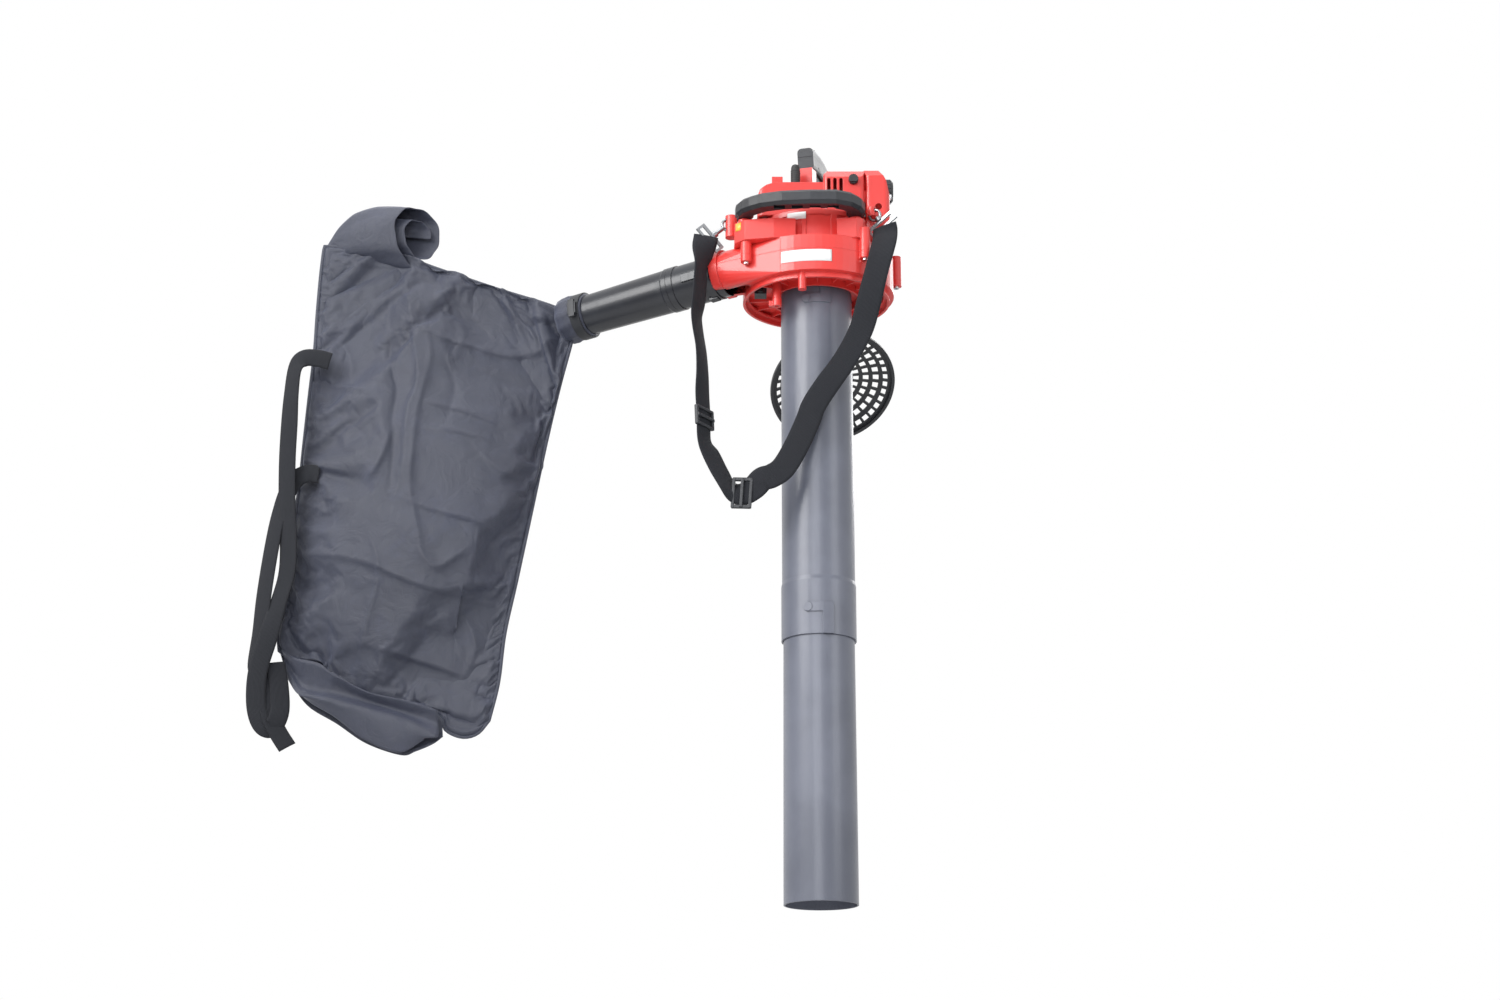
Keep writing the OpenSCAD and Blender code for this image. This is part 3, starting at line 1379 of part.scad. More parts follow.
// moves a flat piece to lie on the front of the shoulder strap at one of its points
module on_strap(i, lift) {
    t = heading(strap_line, i);
    side = unit(cross(t, strap_face(i)));
    out = cross(side, t);
    at = strap_line[i] + out * lift;
    multmatrix([
        [side[0], out[0], t[0], at[0]],
        [side[1], out[1], t[1], at[1]],
        [side[2], out[2], t[2], at[2]],
        [0, 0, 0, 1]]) children();
}

module strap_buckles() {
    color("#17181a")
    for (b = [[11, 0], [16, 1]]) on_strap(b[0], webbing_t / 2 + seat + 1.7 + b[1]) difference() {
        translate([-strap_w / 2 - 4, -1.5, -11]) cube([strap_w + 8, 3, 22]);
        for (z = [-7, 2]) translate([-strap_w / 2 - 1, -3, z]) cube([strap_w + 2, 6, 5]);
    }
}

// moves the part so that its origin is the middle of the top handle's grip
module held() translate(-grip_at) children();

held() upper_tube();
held() lower_tube();
held() lower_volute();
held() upper_volute();
held() housing_screws();
held() impeller();
held() impeller_nut();
held() crankshaft();
held() flywheel();
held() crankcase_lower();
held() crankcase_upper();
held() shaft_bearings();
held() shaft_seals();
held() cylinder_block();  // cylinder
held() piston();
held() spark_plug();
held() plug_boot();
held() ignition_coil();
held() ignition_lead();
held() muffler();
held() insulator();
held() carburettor();
held() primer_bulb();
held() air_filter();
held() filter_cover();
held() filter_knob();
held() fuel_tank();
held() fuel_cap();
held() starter_cup();
held() starter_housing();
held() starter_pulley();
held() recoil_spring();
held() starter_rope();
held() rope_guide();
held() starter_grip();
held() engine_cover();
held() side_cover();
held() cover_screws();
held() choke_knob();
held() handle_body();
held() handle_cap();
held() throttle_trigger();
held() throttle_lock();
held() stop_switch();
held() throttle_cable();
held() front_handle();
held() front_handle_screws();
held() intake_guard();
held() hinge_pin();
held() guard_knob();
held() interlock_switch();
held() discharge_adapter();
held() discharge_tube();
held() bag();
held() bag_clamp();
held() bag_strap();
held() shoulder_strap();
held() snap_hook_left();
held() snap_hook_right();
held() strap_buckles();
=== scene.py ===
"""Looks of a petrol leaf blower set up as a garden vacuum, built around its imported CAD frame."""

import math

import bpy
import numpy as np
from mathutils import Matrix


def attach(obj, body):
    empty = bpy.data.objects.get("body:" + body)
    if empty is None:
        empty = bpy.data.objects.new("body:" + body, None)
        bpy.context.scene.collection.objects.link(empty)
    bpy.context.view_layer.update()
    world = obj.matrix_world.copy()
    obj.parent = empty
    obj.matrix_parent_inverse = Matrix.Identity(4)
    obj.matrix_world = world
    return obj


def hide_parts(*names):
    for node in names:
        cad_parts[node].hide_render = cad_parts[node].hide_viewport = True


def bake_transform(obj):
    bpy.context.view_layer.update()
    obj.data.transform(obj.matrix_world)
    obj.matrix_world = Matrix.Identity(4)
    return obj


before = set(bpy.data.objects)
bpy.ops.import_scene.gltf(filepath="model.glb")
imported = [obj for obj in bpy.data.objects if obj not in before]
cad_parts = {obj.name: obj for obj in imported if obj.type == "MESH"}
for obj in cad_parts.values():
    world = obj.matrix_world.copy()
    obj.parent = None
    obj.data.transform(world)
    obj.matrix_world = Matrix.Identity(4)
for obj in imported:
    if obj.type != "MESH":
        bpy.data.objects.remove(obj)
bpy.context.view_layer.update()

# ---------- camera ----------
# It stands low and about three and a half metres in front of the machine, and looks up at it with a long lens.
# Places are given in the machine's own millimetres, from the tube's axis at the intake rim.

grip_turn = math.radians(74)
grip_at = np.array([66 * math.cos(grip_turn) - 15.5, 66 * math.sin(grip_turn) - 40, 225.5])
look_up = 17


def at(x, y, z):
    """Places in the frame's metres: the machine's own millimetres, less the grip's place, over a thousand."""
    return (np.stack(np.broadcast_arrays(x, y, z), axis=-1) - grip_at) / 1000


camera = bpy.data.objects.new("camera", bpy.data.cameras.new("camera"))
bpy.context.collection.objects.link(camera)
camera.data.sensor_width = 36
camera.data.lens = 59.52
camera.data.clip_end = 50
camera.location = at(-98.5, -3440, -1356)
camera.rotation_euler = (math.radians(90 + look_up), 0, 0)
bpy.context.scene.camera = camera
bpy.context.scene.view_settings.view_transform = "Standard"

# ---------- moulded shells, handles and tubes ----------
# Injection-moulded plastic and rubber: glossy red housing shells, grained black handles, grey suction tubes and
# a smoother black discharge tube. Each has fine grain, a slow drift of its colour and light scuffs in its gloss.


class Sock:
    """A shader socket that adds, subtracts and multiplies like a number, each by Math nodes."""

    def __init__(self, tree, socket):
        self.tree, self.socket = tree, socket

    def math(self, operation, other):
        made = new_node(self.tree, "Math", {"operation": operation}, {0: self, 1: other})
        return Sock(self.tree, made.outputs[0])

    def __add__(self, other): return self.math("ADD", other)
    def __radd__(self, other): return self.math("ADD", other)
    def __sub__(self, other): return self.math("SUBTRACT", other)
    def __rsub__(self, other): return self * -1 + other
    def __mul__(self, other): return self.math("MULTIPLY", other)
    def __rmul__(self, other): return self.math("MULTIPLY", other)

    def between(self, low, high):
        """0 below low, 1 above high, and smooth between them."""
        made = new_node(self.tree, "MapRange", {"interpolation_type": "SMOOTHSTEP"}, {0: self, 1: low, 2: high})
        return Sock(self.tree, made.outputs[0])


def plug(tree, entry, value):
    """Links a Sock or an output into an input, or sets a plain value on it."""
    if isinstance(value, (Sock, bpy.types.NodeSocket)):
        tree.links.new(getattr(value, "socket", value), entry)
    else:
        entry.default_value = value


def new_node(tree, kind, settings, sockets):
    """A shader node of that kind: its settings first, then the values or links of its sockets."""
    made = tree.nodes.new("ShaderNode" + kind)
    for name, value in settings.items():
        setattr(made, name, value)
    for name, value in sockets.items():
        plug(tree, made.inputs[name], value)
    return made


def material(name, roughness, metallic=0.0, **fixed):
    """A material with its constant values set on the shader's own sockets."""
    made = bpy.data.materials.new(name)
    made.use_nodes = True
    shader = made.node_tree.nodes["Principled BSDF"]
    shader.inputs["Metallic"].default_value = metallic
    shader.inputs["Roughness"].default_value = roughness
    for key, value in fixed.items():
        shader.inputs[key.replace("_", " ")].default_value = value
    return made, made.node_tree, shader


def texture(tree, kind, scale, stretch=(1, 1, 1), uv=False, bands=None, **sockets):
    """A noise, Voronoi or wave texture on object or UV coordinates, as a Sock of its value."""
    place = new_node(tree, "TexCoord", {}, {}).outputs["UV" if uv else "Object"]
    size = new_node(tree, "Mapping", {}, {"Scale": stretch, "Vector": place}).outputs[0]
    settings = {"bands_direction": bands} if bands else {}
    made = new_node(tree, "Tex" + kind, settings, {"Vector": size, "Scale": scale, **sockets})
    return Sock(tree, made.outputs["Distance" if kind == "Voronoi" else "Fac"])


def blend_colour(tree, shader, factor, low, high):
    """Base colour between two colours, by a Sock from 0 to 1."""
    # a Mix node's sockets 6 and 7 are its colours, and its output 2 is their mix
    mix = new_node(tree, "Mix", {"data_type": "RGBA"}, {0: factor, 6: (*low, 1), 7: (*high, 1)})
    plug(tree, shader.inputs["Base Color"], mix.outputs[2])


def bump(tree, shader, height, depth, rounding=0.0):
    """Surface relief of the given depth in metres; rounding softens the solid's sharp edges."""
    sockets = {"Distance": depth, "Height": height}
    if rounding:
        sockets["Normal"] = new_node(tree, "Bevel", {"samples": 6}, {"Radius": rounding}).outputs[0]
    plug(tree, shader.inputs["Normal"], new_node(tree, "Bump", {}, sockets).outputs[0])


def moulded(name, colour, shade, roughness, grain, rounding=0.0012, coat=0.0):
    """Moulded plastic: fine grain, slow colour drift, small scuffs in its gloss."""
    made, tree, shader = material(name, roughness, Coat_Weight=coat, Coat_Roughness=0.12)
    drift = texture(tree, "Noise", 9, Detail=4.0)
    scuff = texture(tree, "Noise", 60, stretch=(1, 1, 0.15), Detail=6.0).between(0.55, 0.75)
    pitted = texture(tree, "Noise", 1400, Detail=2.0)
    blend_colour(tree, shader, drift.between(0.3, 0.7), shade, colour)
    plug(tree, shader.inputs["Roughness"], drift * 0.12 + scuff * 0.1 + (roughness - 0.06))
    bump(tree, shader, pitted * grain + scuff * -0.1, 0.0004, rounding)
    return made


red = moulded("red_shell", (0.76, 0.050, 0.042), (0.66, 0.038, 0.032), 0.34, 0.10, 0.0016, 0.25)
black = moulded("black_grained", (0.018, 0.020, 0.024), (0.010, 0.011, 0.014), 0.46, 0.35)
grip_black = moulded("black_grip", (0.016, 0.018, 0.023), (0.009, 0.010, 0.013), 0.40, 0.55)
tube_grey = moulded("tube_grey", (0.142, 0.152, 0.190), (0.102, 0.110, 0.140), 0.34, 0.30, 0.0010, 0.10)
duct_black = moulded("duct_black", (0.015, 0.017, 0.023), (0.009, 0.010, 0.014), 0.30, 0.10, 0.0010, 0.10)
rubber = moulded("soft_rubber", (0.020, 0.020, 0.022), (0.013, 0.013, 0.014), 0.62, 0.45)
cream = moulded("cream_plastic", (0.62, 0.58, 0.48), (0.52, 0.48, 0.38), 0.45, 0.10)
glazed = moulded("glazed", (0.80, 0.80, 0.77), (0.74, 0.73, 0.70), 0.15, 0.02)

# ---------- metal parts ----------
# Zinc-plated screws and pressed steel with drawn marks, the rougher die castings of the engine, and the darker
# bent wire of the snap hooks.


def metal(name, colour, shade, roughness, grain, stretch):
    """Bare metal with drawn or cast marks."""
    made, tree, shader = material(name, roughness, 1.0)
    marks = texture(tree, "Noise", 220, stretch=stretch, Detail=5.0)
    blend_colour(tree, shader, marks, shade, colour)
    plug(tree, shader.inputs["Roughness"], marks * 0.2 + (roughness - 0.1))
    bump(tree, shader, marks, grain)
    return made


steel = metal("zinc_steel", (0.72, 0.73, 0.74), (0.52, 0.53, 0.54), 0.26, 0.0001, (1, 1, 6))
hook_wire = metal("hook_wire", (0.40, 0.41, 0.43), (0.24, 0.25, 0.26), 0.30, 0.0001, (1, 1, 6))
cast = metal("cast_metal", (0.60, 0.61, 0.62), (0.42, 0.43, 0.44), 0.46, 0.0005, (1, 1, 1))

# ---------- foam and rope ----------
# The air filter is a block of dark open-celled foam: its cell pattern gives its relief, and its colour darkens into
# each cell's hollow, a painted shade in the pores.
# The starter rope is braided white cord, with the shadow lines of its strands.

foam, tree, shader = material("filter_foam", 0.95)
cell_relief_and_hollow_shade = texture(tree, "Voronoi", 700)
# painted shade: darker towards the middle of each cell, where its hollow is deepest
blend_colour(tree, shader, cell_relief_and_hollow_shade, (0.03, 0.032, 0.036), (0.10, 0.105, 0.115))
bump(tree, shader, cell_relief_and_hollow_shade, 0.0012)

rope_white, tree, shader = material("rope_white", 0.8)
strands = texture(tree, "Wave", 900, Distortion=1.0)
blend_colour(tree, shader, strands, (0.35, 0.35, 0.32), (0.72, 0.72, 0.68))
bump(tree, shader, strands, 0.0006)

# ---------- finish of each CAD piece ----------
# Every piece of the frame takes one of the finishes above. What isn't named here is of grained black plastic,
# such as the fuel cap, the intake guard and the impeller.

finish = {
    red: ["lower_volute", "upper_volute", "engine_cover", "side_cover", "stop_switch", "guard_knob"],
    tube_grey: ["upper_tube", "lower_tube"],
    grip_black: ["handle_body", "handle_cap", "front_handle"],
    duct_black: ["discharge_adapter", "discharge_tube"],
    rubber: ["plug_boot", "ignition_lead", "primer_bulb", "shaft_seals", "starter_grip", "throttle_cable"],
    foam: ["air_filter"],
    cream: ["starter_pulley"],
    rope_white: ["starter_rope"],
    glazed: ["spark_plug"],
    cast: ["flywheel", "crankcase_lower", "crankcase_upper", "cylinder", "piston", "carburettor"],
    steel: ["housing_screws", "impeller_nut", "crankshaft", "shaft_bearings", "muffler", "starter_cup",
            "recoil_spring", "rope_guide", "cover_screws", "front_handle_screws", "hinge_pin"],
    hook_wire: ["snap_hook_left", "snap_hook_right"],
}
coat_of = {name: coat for coat, names in finish.items() for name in names}
for name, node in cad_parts.items():
    node.data.materials.clear()
    node.data.materials.append(coat_of.get(name, black))

# ---------- shoulder strap ----------
# 36 mm polypropylene webbing, woven with ribs along its length, between the two snap hooks that hold its ends.
# It hangs in a loop and is twisted once at the tube.


def mesh_piece(name, points, faces, coat, uv=None):
    """A smooth-shaded mesh object at the origin, with a UV for each vertex where given."""
    mesh = bpy.data.meshes.new(name)
    mesh.from_pydata(np.reshape(points, (-1, 3)).tolist(), [], faces)
    mesh.polygons.foreach_set("use_smooth", [True] * len(mesh.polygons))
    if uv is not None:
        layer = mesh.uv_layers.new(name="UVMap")
        index = np.empty(len(mesh.loops), dtype=np.int32)
        mesh.loops.foreach_get("vertex_index", index)
        layer.data.foreach_set("uv", np.asarray(uv, dtype=np.float32)[index].ravel())
    mesh.materials.append(coat)
    mesh.update()
    piece = bpy.data.objects.new(name, mesh)
    bpy.context.collection.objects.link(piece)
    return piece


def thicken(piece, wall, offset=-1):
    """Gives a surface its wall: offset -1 puts it inside the surface, 0 on both sides of it."""
    solid = piece.modifiers.new("thick", "SOLIDIFY")
    solid.thickness = wall
    solid.offset = offset


def grid_faces(rows, columns, closed=False, ring=False):
    """Quads of a grid of points stored row by row. closed joins the last column to the first, ring the rows."""
    k = np.arange(rows * columns).reshape(rows, columns)
    if ring:
        k = np.concatenate([k, k[:1]])
    if closed:
        k = np.concatenate([k, k[:, :1]], axis=1)
    return np.stack([k[:-1, :-1], k[:-1, 1:], k[1:, 1:], k[1:, :-1]], axis=-1).reshape(-1, 4).tolist()


def curve_through(points, steps):
    """A Catmull-Rom curve through the rows of points, with that many steps between neighbours: each stretch is
    the cubic through its two ends whose slope at an end is half the way between that end's neighbours."""
    p = np.asarray(points, dtype=float)
    ends = np.concatenate([2 * p[:1] - p[1:2], p, 2 * p[-1:] - p[-2:-1]])
    a, b, c, d = (ends[i:len(ends) - 3 + i][:, None] for i in range(4))
    t = np.linspace(0, 1, steps, endpoint=False).reshape(-1, *[1] * (p.ndim - 1))
    curve = 0.5 * (2 * b + (c - a) * t + (2 * a - 5 * b + 4 * c - d) * t ** 2
                   + (3 * b - a - 3 * c + d) * t ** 3)
    return np.concatenate([curve.reshape(-1, *p.shape[1:]), p[-1:]])


def band(name, line, facing, width, cup):
    """A strap along a line: facing gives the way its face looks at each point of the line, and a point across it
    lies u widths to the side, and cup widths times the square of 2u back, for u from -1/2 to 1/2."""
    path = curve_through(line, 8)
    face = curve_through(facing, 8)
    along = np.gradient(path, axis=0)
    along /= np.linalg.norm(along, axis=1)[:, None]
    side = np.cross(along, face)
    side /= np.linalg.norm(side, axis=1)[:, None]
    out = np.cross(side, along)
    u = np.linspace(-0.5, 0.5, 9)
    points = (path[:, None] + side[:, None] * (u * width)[None, :, None]
              - out[:, None] * (cup * width * (2 * u) ** 2)[None, :, None])
    length = np.concatenate([[0], np.cumsum(np.linalg.norm(np.diff(path, axis=0), axis=1))])
    uv = np.stack(np.broadcast_arrays(length[:, None], (u * width)[None, :]), axis=-1)
    piece = mesh_piece(name, points, grid_faces(len(path), len(u)), webbing, uv.reshape(-1, 2))
    thicken(piece, 0.0018, 0)
    return piece, length[-1]


webbing, tree, shader = material("webbing", 0.8, Specular_IOR_Level=0.22, Sheen_Weight=0.03, Sheen_Roughness=0.4)
ribs = texture(tree, "Wave", 180, stretch=(0.12, 1, 1), uv=True, bands="Y", Distortion=0.6)
picks = texture(tree, "Wave", 260, uv=True, bands="X", Distortion=0.4)
fibre = texture(tree, "Noise", 1500, uv=True, Detail=3.0)
blend_colour(tree, shader, ribs * 0.5 + picks * 0.3 + fibre * 0.3, (0.004, 0.0045, 0.006), (0.034, 0.036, 0.043))
bump(tree, shader, ribs * 0.7 + picks * 0.5 + fibre * 0.2, 0.0005)

strap_w = 0.036
strap_line = at(*np.transpose([
    (-163, -61.5, 84), (-164, -64.4, 76), (-166.6, -66, 60), (-169, -67, 36), (-170, -67, 12),
    (-172, -67, -18), (-175, -66, -42), (-173, -64, -64), (-168, -64, -96), (-166, -64, -130),
    (-166, -64, -164), (-164, -64, -200), (-163, -64, -232), (-154, -66, -254), (-141, -68, -282),
    (-127, -70, -306), (-110, -72, -316), (-93, -74, -308), (-81, -76, -296), (-67, -76, -291),
    (-50, -74, -277), (-31, -73, -243), (-15, -72, -206), (-7, -72, -184), (11, -74, -155),
    (38, -80, -117), (61, -92, -76), (73, -106, -36), (81, -114, -4), (89, -119, 26), (96, -113, 54),
    (98.4, -101, 74), (97.4, -97.5, 85)]))
strap_face = np.repeat(
    [(0.1, -0.99, 0), (0.5, -0.87, 0), (0.88, -0.47, 0), (0.92, -0.39, 0), (0.9, -0.44, 0), (0.86, -0.51, 0),
     (0.7, -0.7, 0.1), (-0.06, -1, 0.04), (-0.06, -1, 0.3), (-0.2, -0.9, 0.3), (-0.39, -0.92, 0)],
    [2, 1, 3, 3, 1, 3, 3, 9, 3, 4, 1], axis=0)
strap, strap_length = band("shoulder_webbing", strap_line, strap_face, strap_w, 0.04)
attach(strap, "machine")
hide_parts("shoulder_strap")

# ---------- strap buckles ----------
# Two black sliders of moulded plastic, each three bars between two rails, turned with the strap that runs
# through them. The middle bar stands a little proud, where the webbing goes over it.

corner = np.array([(-1, -1, -1), (1, -1, -1), (1, 1, -1), (-1, 1, -1),
                   (-1, -1, 1), (1, -1, 1), (1, 1, 1), (-1, 1, 1)]) / 2
box_side = np.array([(0, 3, 2, 1), (4, 5, 6, 7), (0, 1, 5, 4), (1, 2, 6, 5), (2, 3, 7, 6), (3, 0, 4, 7)])
bar_place = np.array([(-0.0205, 0, 0), (0.0205, 0, 0), (0, -0.0125, 0), (0, 0, 0.0022), (0, 0.0125, 0)])
bar_size = np.array([(0.005, 0.028, 0.005)] * 2
                    + [(0.044, 0.0045, 0.0055), (0.044, 0.0045, 0.0042), (0.044, 0.0045, 0.0055)])
bars = bar_place[:, None] + corner * bar_size[:, None]
sliders = []
for step in (11, 16):
    along = strap_line[step + 1] - strap_line[step - 1]
    along /= np.linalg.norm(along)
    across = np.cross(along, strap_face[step])
    across /= np.linalg.norm(across)
    sliders.append(strap_line[step] + bars @ np.stack([across, along, np.cross(across, along)]))
count = len(sliders) * len(bars)
sliders = mesh_piece("strap_sliders", sliders,
                     (np.arange(count)[:, None, None] * len(corner) + box_side).reshape(-1, 4).tolist(), black)
sliders.data.polygons.foreach_set("use_smooth", [False] * len(sliders.data.polygons))
edge = sliders.modifiers.new("edge", "BEVEL")
edge.width = 0.0007
edge.segments = 2
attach(sliders, "machine")
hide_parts("strap_buckles")

# ---------- collecting bag ----------
# Coated polyester cloth: two sheets sewn together round their edge, slack and creased, hanging from the discharge
# tube. The slack between the seams is simulated, then sharp creases are pressed into the front sheet.

cloth, tree, shader = material("bag_cloth", 0.5, Sheen_Weight=0.2, Sheen_Roughness=0.5,
                               Sheen_Tint=(0.75, 0.8, 1, 1))
weave = texture(tree, "Wave", 420, bands="X") * texture(tree, "Wave", 420, bands="Z")
drift = texture(tree, "Noise", 7, Detail=5.0)
rubbed = texture(tree, "Noise", 26, Detail=6.0, Roughness=0.7).between(0.5, 0.72)
puckers = texture(tree, "Noise", 30, Detail=5.0, Distortion=1.4)
blend_colour(tree, shader, drift * 0.6 + rubbed * 0.3 + weave * 0.12, (0.016, 0.019, 0.032), (0.050, 0.056, 0.087))
plug(tree, shader.inputs["Roughness"], rubbed * 0.14 + 0.40)
bump(tree, shader, weave * 0.08 + puckers * 0.9, 0.0026)


def spread(edge, count):
    """That many points along an edge, at equal distances by its running length."""
    gaps = np.concatenate([[0], np.cumsum(np.linalg.norm(np.diff(edge, axis=0), axis=1))])
    where = np.linspace(0, gaps[-1], count)
    return np.stack([np.interp(where, gaps, way) for way in edge.T], axis=1)


def swell(x, z, seed, size):
    """Slow uneven billows: the sum of several sines across the sheet, each bent by another."""
    rng = np.random.default_rng(seed)
    total = np.zeros_like(x)
    for _ in range(6):
        turn, shift = rng.uniform(0, math.pi), rng.uniform(0, 9)
        along = (x * math.cos(turn) + z * math.sin(turn)) / size
        total += np.sin(2 * math.pi * along + shift + 0.8 * np.sin(along * 2.3 + shift)) * rng.uniform(0.4, 1)
    return total / 3


def two_sheets(k):
    """Faces of the front and back sheets, which share their seam points; the back's are turned round."""
    quads = np.stack([k[:, :-1, :-1], k[:, 1:, :-1], k[:, 1:, 1:], k[:, :-1, 1:]], axis=-1).reshape(2, -1, 4)
    return quads[0].tolist() + quads[1, :, ::-1].tolist()


# the outline, seen from the front: across and up
rows, columns = 110, 64
left = spread(curve_through([
    (-752, 131), (-755, 82), (-757, 20), (-758, -42), (-762, -110), (-766, -183), (-769, -243), (-774, -314),
    (-774, -373), (-779, -434), (-788, -474), (-786, -506)], 14), rows)
right = spread(curve_through([
    (-363, 17), (-373, -30), (-388, -95), (-405, -180), (-424, -287), (-444, -399), (-459, -480), (-466, -553),
    (-478, -610)], 18), rows)
top = spread(curve_through([
    (-752, 131), (-699, 126), (-637, 115), (-578, 93), (-483, 60), (-405, 36), (-363, 17)], 12), columns)
foot = spread(curve_through([
    (-786, -506), (-760, -524), (-725, -533), (-703, -549), (-652, -577), (-594, -590), (-549, -604), (-538, -624),
    (-515, -634), (-494, -629), (-478, -610)], 12), columns)

# a sheet blended from its four edges: the sides' mean plus the ends' mean, less that of the four corners
V, U = np.meshgrid(np.linspace(0, 1, rows), np.linspace(0, 1, columns), indexing="ij")
down, over = V[..., None], U[..., None]
flat = (left[:, None] * (1 - over) + right[:, None] * over + top[None] * (1 - down) + foot[None] * down
        - (top[0] * (1 - over) + top[-1] * over) * (1 - down) - (foot[0] * (1 - over) + foot[-1] * over) * down)
x, z = flat[..., 0], flat[..., 1]

# the cloth stands out from its middle by the depth, most low down and at the corner with the tube
edge_fade = np.clip(np.sin(np.pi * U), 0, 1) ** 0.5 * np.clip(np.sin(np.pi * V), 0, 1) ** 0.35
depth = (14 + 23 * np.exp(-((V - 0.62) / 0.32) ** 2)) * edge_fade
depth += 30 * np.exp(-((U - 0.93) / 0.10) ** 2 - ((V - 0.075) / 0.085) ** 2) * edge_fade
middle = 92 + 9 * U ** 2 * (1 - V) - 3 * np.sin(np.pi * U)
loose = 2.4 * swell(x, z, 3, 150)
seam = np.pad(np.zeros((rows - 2, columns - 2), dtype=bool), 1, constant_values=True)
shared = np.where(seam, 1, 2)
first = np.cumsum(shared).reshape(rows, columns) - shared
index = np.stack([first, first + shared - 1])
points = np.empty((shared.sum(), 3))
for ids, way in zip(index, (-1, 1)):
    points[ids] = at(x, np.where(seam, middle, middle + way * depth + loose * edge_fade), z)

# the cloth is cut a little larger than its outline, so it buckles between its pinned seams
draft = mesh_piece("bag_draft", points, two_sheets(index), cloth)
pins = draft.vertex_groups.new(name="pins")
pins.add(index[0][seam].tolist(), 1.0, "REPLACE")
soft = draft.modifiers.new("cloth", "CLOTH")
for setting, value in {
        "quality": 6, "mass": 0.15, "tension_stiffness": 30, "compression_stiffness": 30,
        "shear_stiffness": 12, "bending_stiffness": 0.25, "shrink_min": -0.06, "use_pressure": True,
        "uniform_pressure_force": 0.35, "vertex_group_mass": "pins"}.items():
    setattr(soft.settings, setting, value)
soft.settings.effector_weights.gravity = 0
soft.collision_settings.use_collision = False
last_step, furthest = 22, 0.014
soft.point_cache.frame_start = 1
soft.point_cache.frame_end = last_step
for step in range(1, last_step + 1):
    bpy.context.scene.frame_set(step)
moved = draft.evaluated_get(bpy.context.evaluated_depsgraph_get()).to_mesh()
end = np.empty(points.size)
moved.vertices.foreach_get("co", end)
shift = end.reshape(-1, 3) - points
points += shift * np.minimum(1, furthest / np.maximum(np.linalg.norm(shift, axis=1), 1e-9))[:, None]
bpy.data.objects.remove(draft)
bpy.context.scene.frame_set(1)

# finer sheets, by a smooth curve through the points of each row and then of each column
sheets = [curve_through(curve_through(points[ids].swapaxes(0, 1), 2).swapaxes(0, 1), 2) for ids in index]
rows, columns = sheets[0].shape[:2]
x, _, z = np.moveaxis((sheets[0] - at(0, 0, 0)) * 1000, -1, 0)
U = np.linspace(0, 1, columns)[None]
V = np.linspace(0, 1, rows)[:, None]
near_seam = np.clip(np.minimum(np.minimum(U, 1 - U) * 12, np.minimum(V, 1 - V) * 22), 0, 1)

# each crease: how far its edge stands out, how sharp it is on its two sides, and its line
creases = [
    (5.0, 22, 5, [(-628, 101), (-616, 29), (-603, -45), (-596, -101), (-609, -149), (-611, -222), (-620, -293)]),
    (-4.5, 16, 6, [(-650, 60), (-644, -20), (-641, -64), (-628, -113), (-631, -161), (-627, -234), (-633, -287)]),
    (3.5, 5, 16, [(-599, 29), (-578, -58), (-592, -137), (-596, -198), (-598, -269), (-584, -334), (-570, -411)]),
    (5.0, 24, 3, [(-609, -7), (-564, -28), (-515, -40), (-460, -50), (-402, -39)]),
    (3.2, 12, 3, [(-738, -94), (-706, -104), (-665, -118)]),
    (4.0, 14, 3, [(-589, -134), (-529, -148), (-469, -170)]),
    (3.4, 12, 3, [(-579, -176), (-527, -184), (-481, -195)]),
    (4.4, 14, 3, [(-766, -223), (-724, -237), (-676, -249)]),
    (3.0, 10, 3, [(-754, -274), (-728, -282), (-700, -294)]),
    (3.8, 9, 4, [(-667, -265), (-643, -225), (-626, -161)]),
    (4.2, 18, 3, [(-603, -294), (-552, -310), (-497, -324), (-441, -359)]),
    (4.2, 20, 3, [(-765, -364), (-673, -382), (-610, -408), (-559, -425), (-454, -442)]),
    (5.0, 16, 3, [(-786, -468), (-757, -489), (-716, -540)]),
    (5.0, 22, 3, [(-649, -509), (-583, -524), (-507, -549)]),
    (3.6, 8, 4, [(-583, -367), (-557, -393), (-527, -376), (-510, -362)]),
    (5.5, 7, 4, [(-483, 48), (-456, 17), (-429, -14), (-422, -39)]),
    (4.5, 9, 3, [(-483, 48), (-430, 15), (-371, -1)]),
    (-4.5, 6, 4, [(-426, 3), (-397, 6), (-370, 12)]),
    (4.0, 5, 7, [(-422, -39), (-394, -18), (-374, -5)]),
    (-3.0, 5, 8, [(-377, -40), (-397, -113), (-414, -192), (-432, -287), (-452, -399), (-467, -480)]),
    (3.0, 20, 5, [(-752, 108), (-700, 102), (-640, 96)]),
    (3.5, 10, 5, [(-660, -330), (-640, -395), (-655, -470), (-668, -540)]),
    (-3.5, 7, 12, [(-560, -60), (-540, -110), (-552, -170)]),
    (3.0, 8, 14, [(-720, -20), (-700, -70), (-712, -150)]),
    (3.2, 14, 4, [(-500, -210), (-470, -240), (-430, -250)]),
    (3.4, 12, 4, [(-700, -430), (-740, -440), (-770, -420)]),
    (3.0, 9, 5, [(-520, -450), (-500, -500), (-520, -560)]),
]

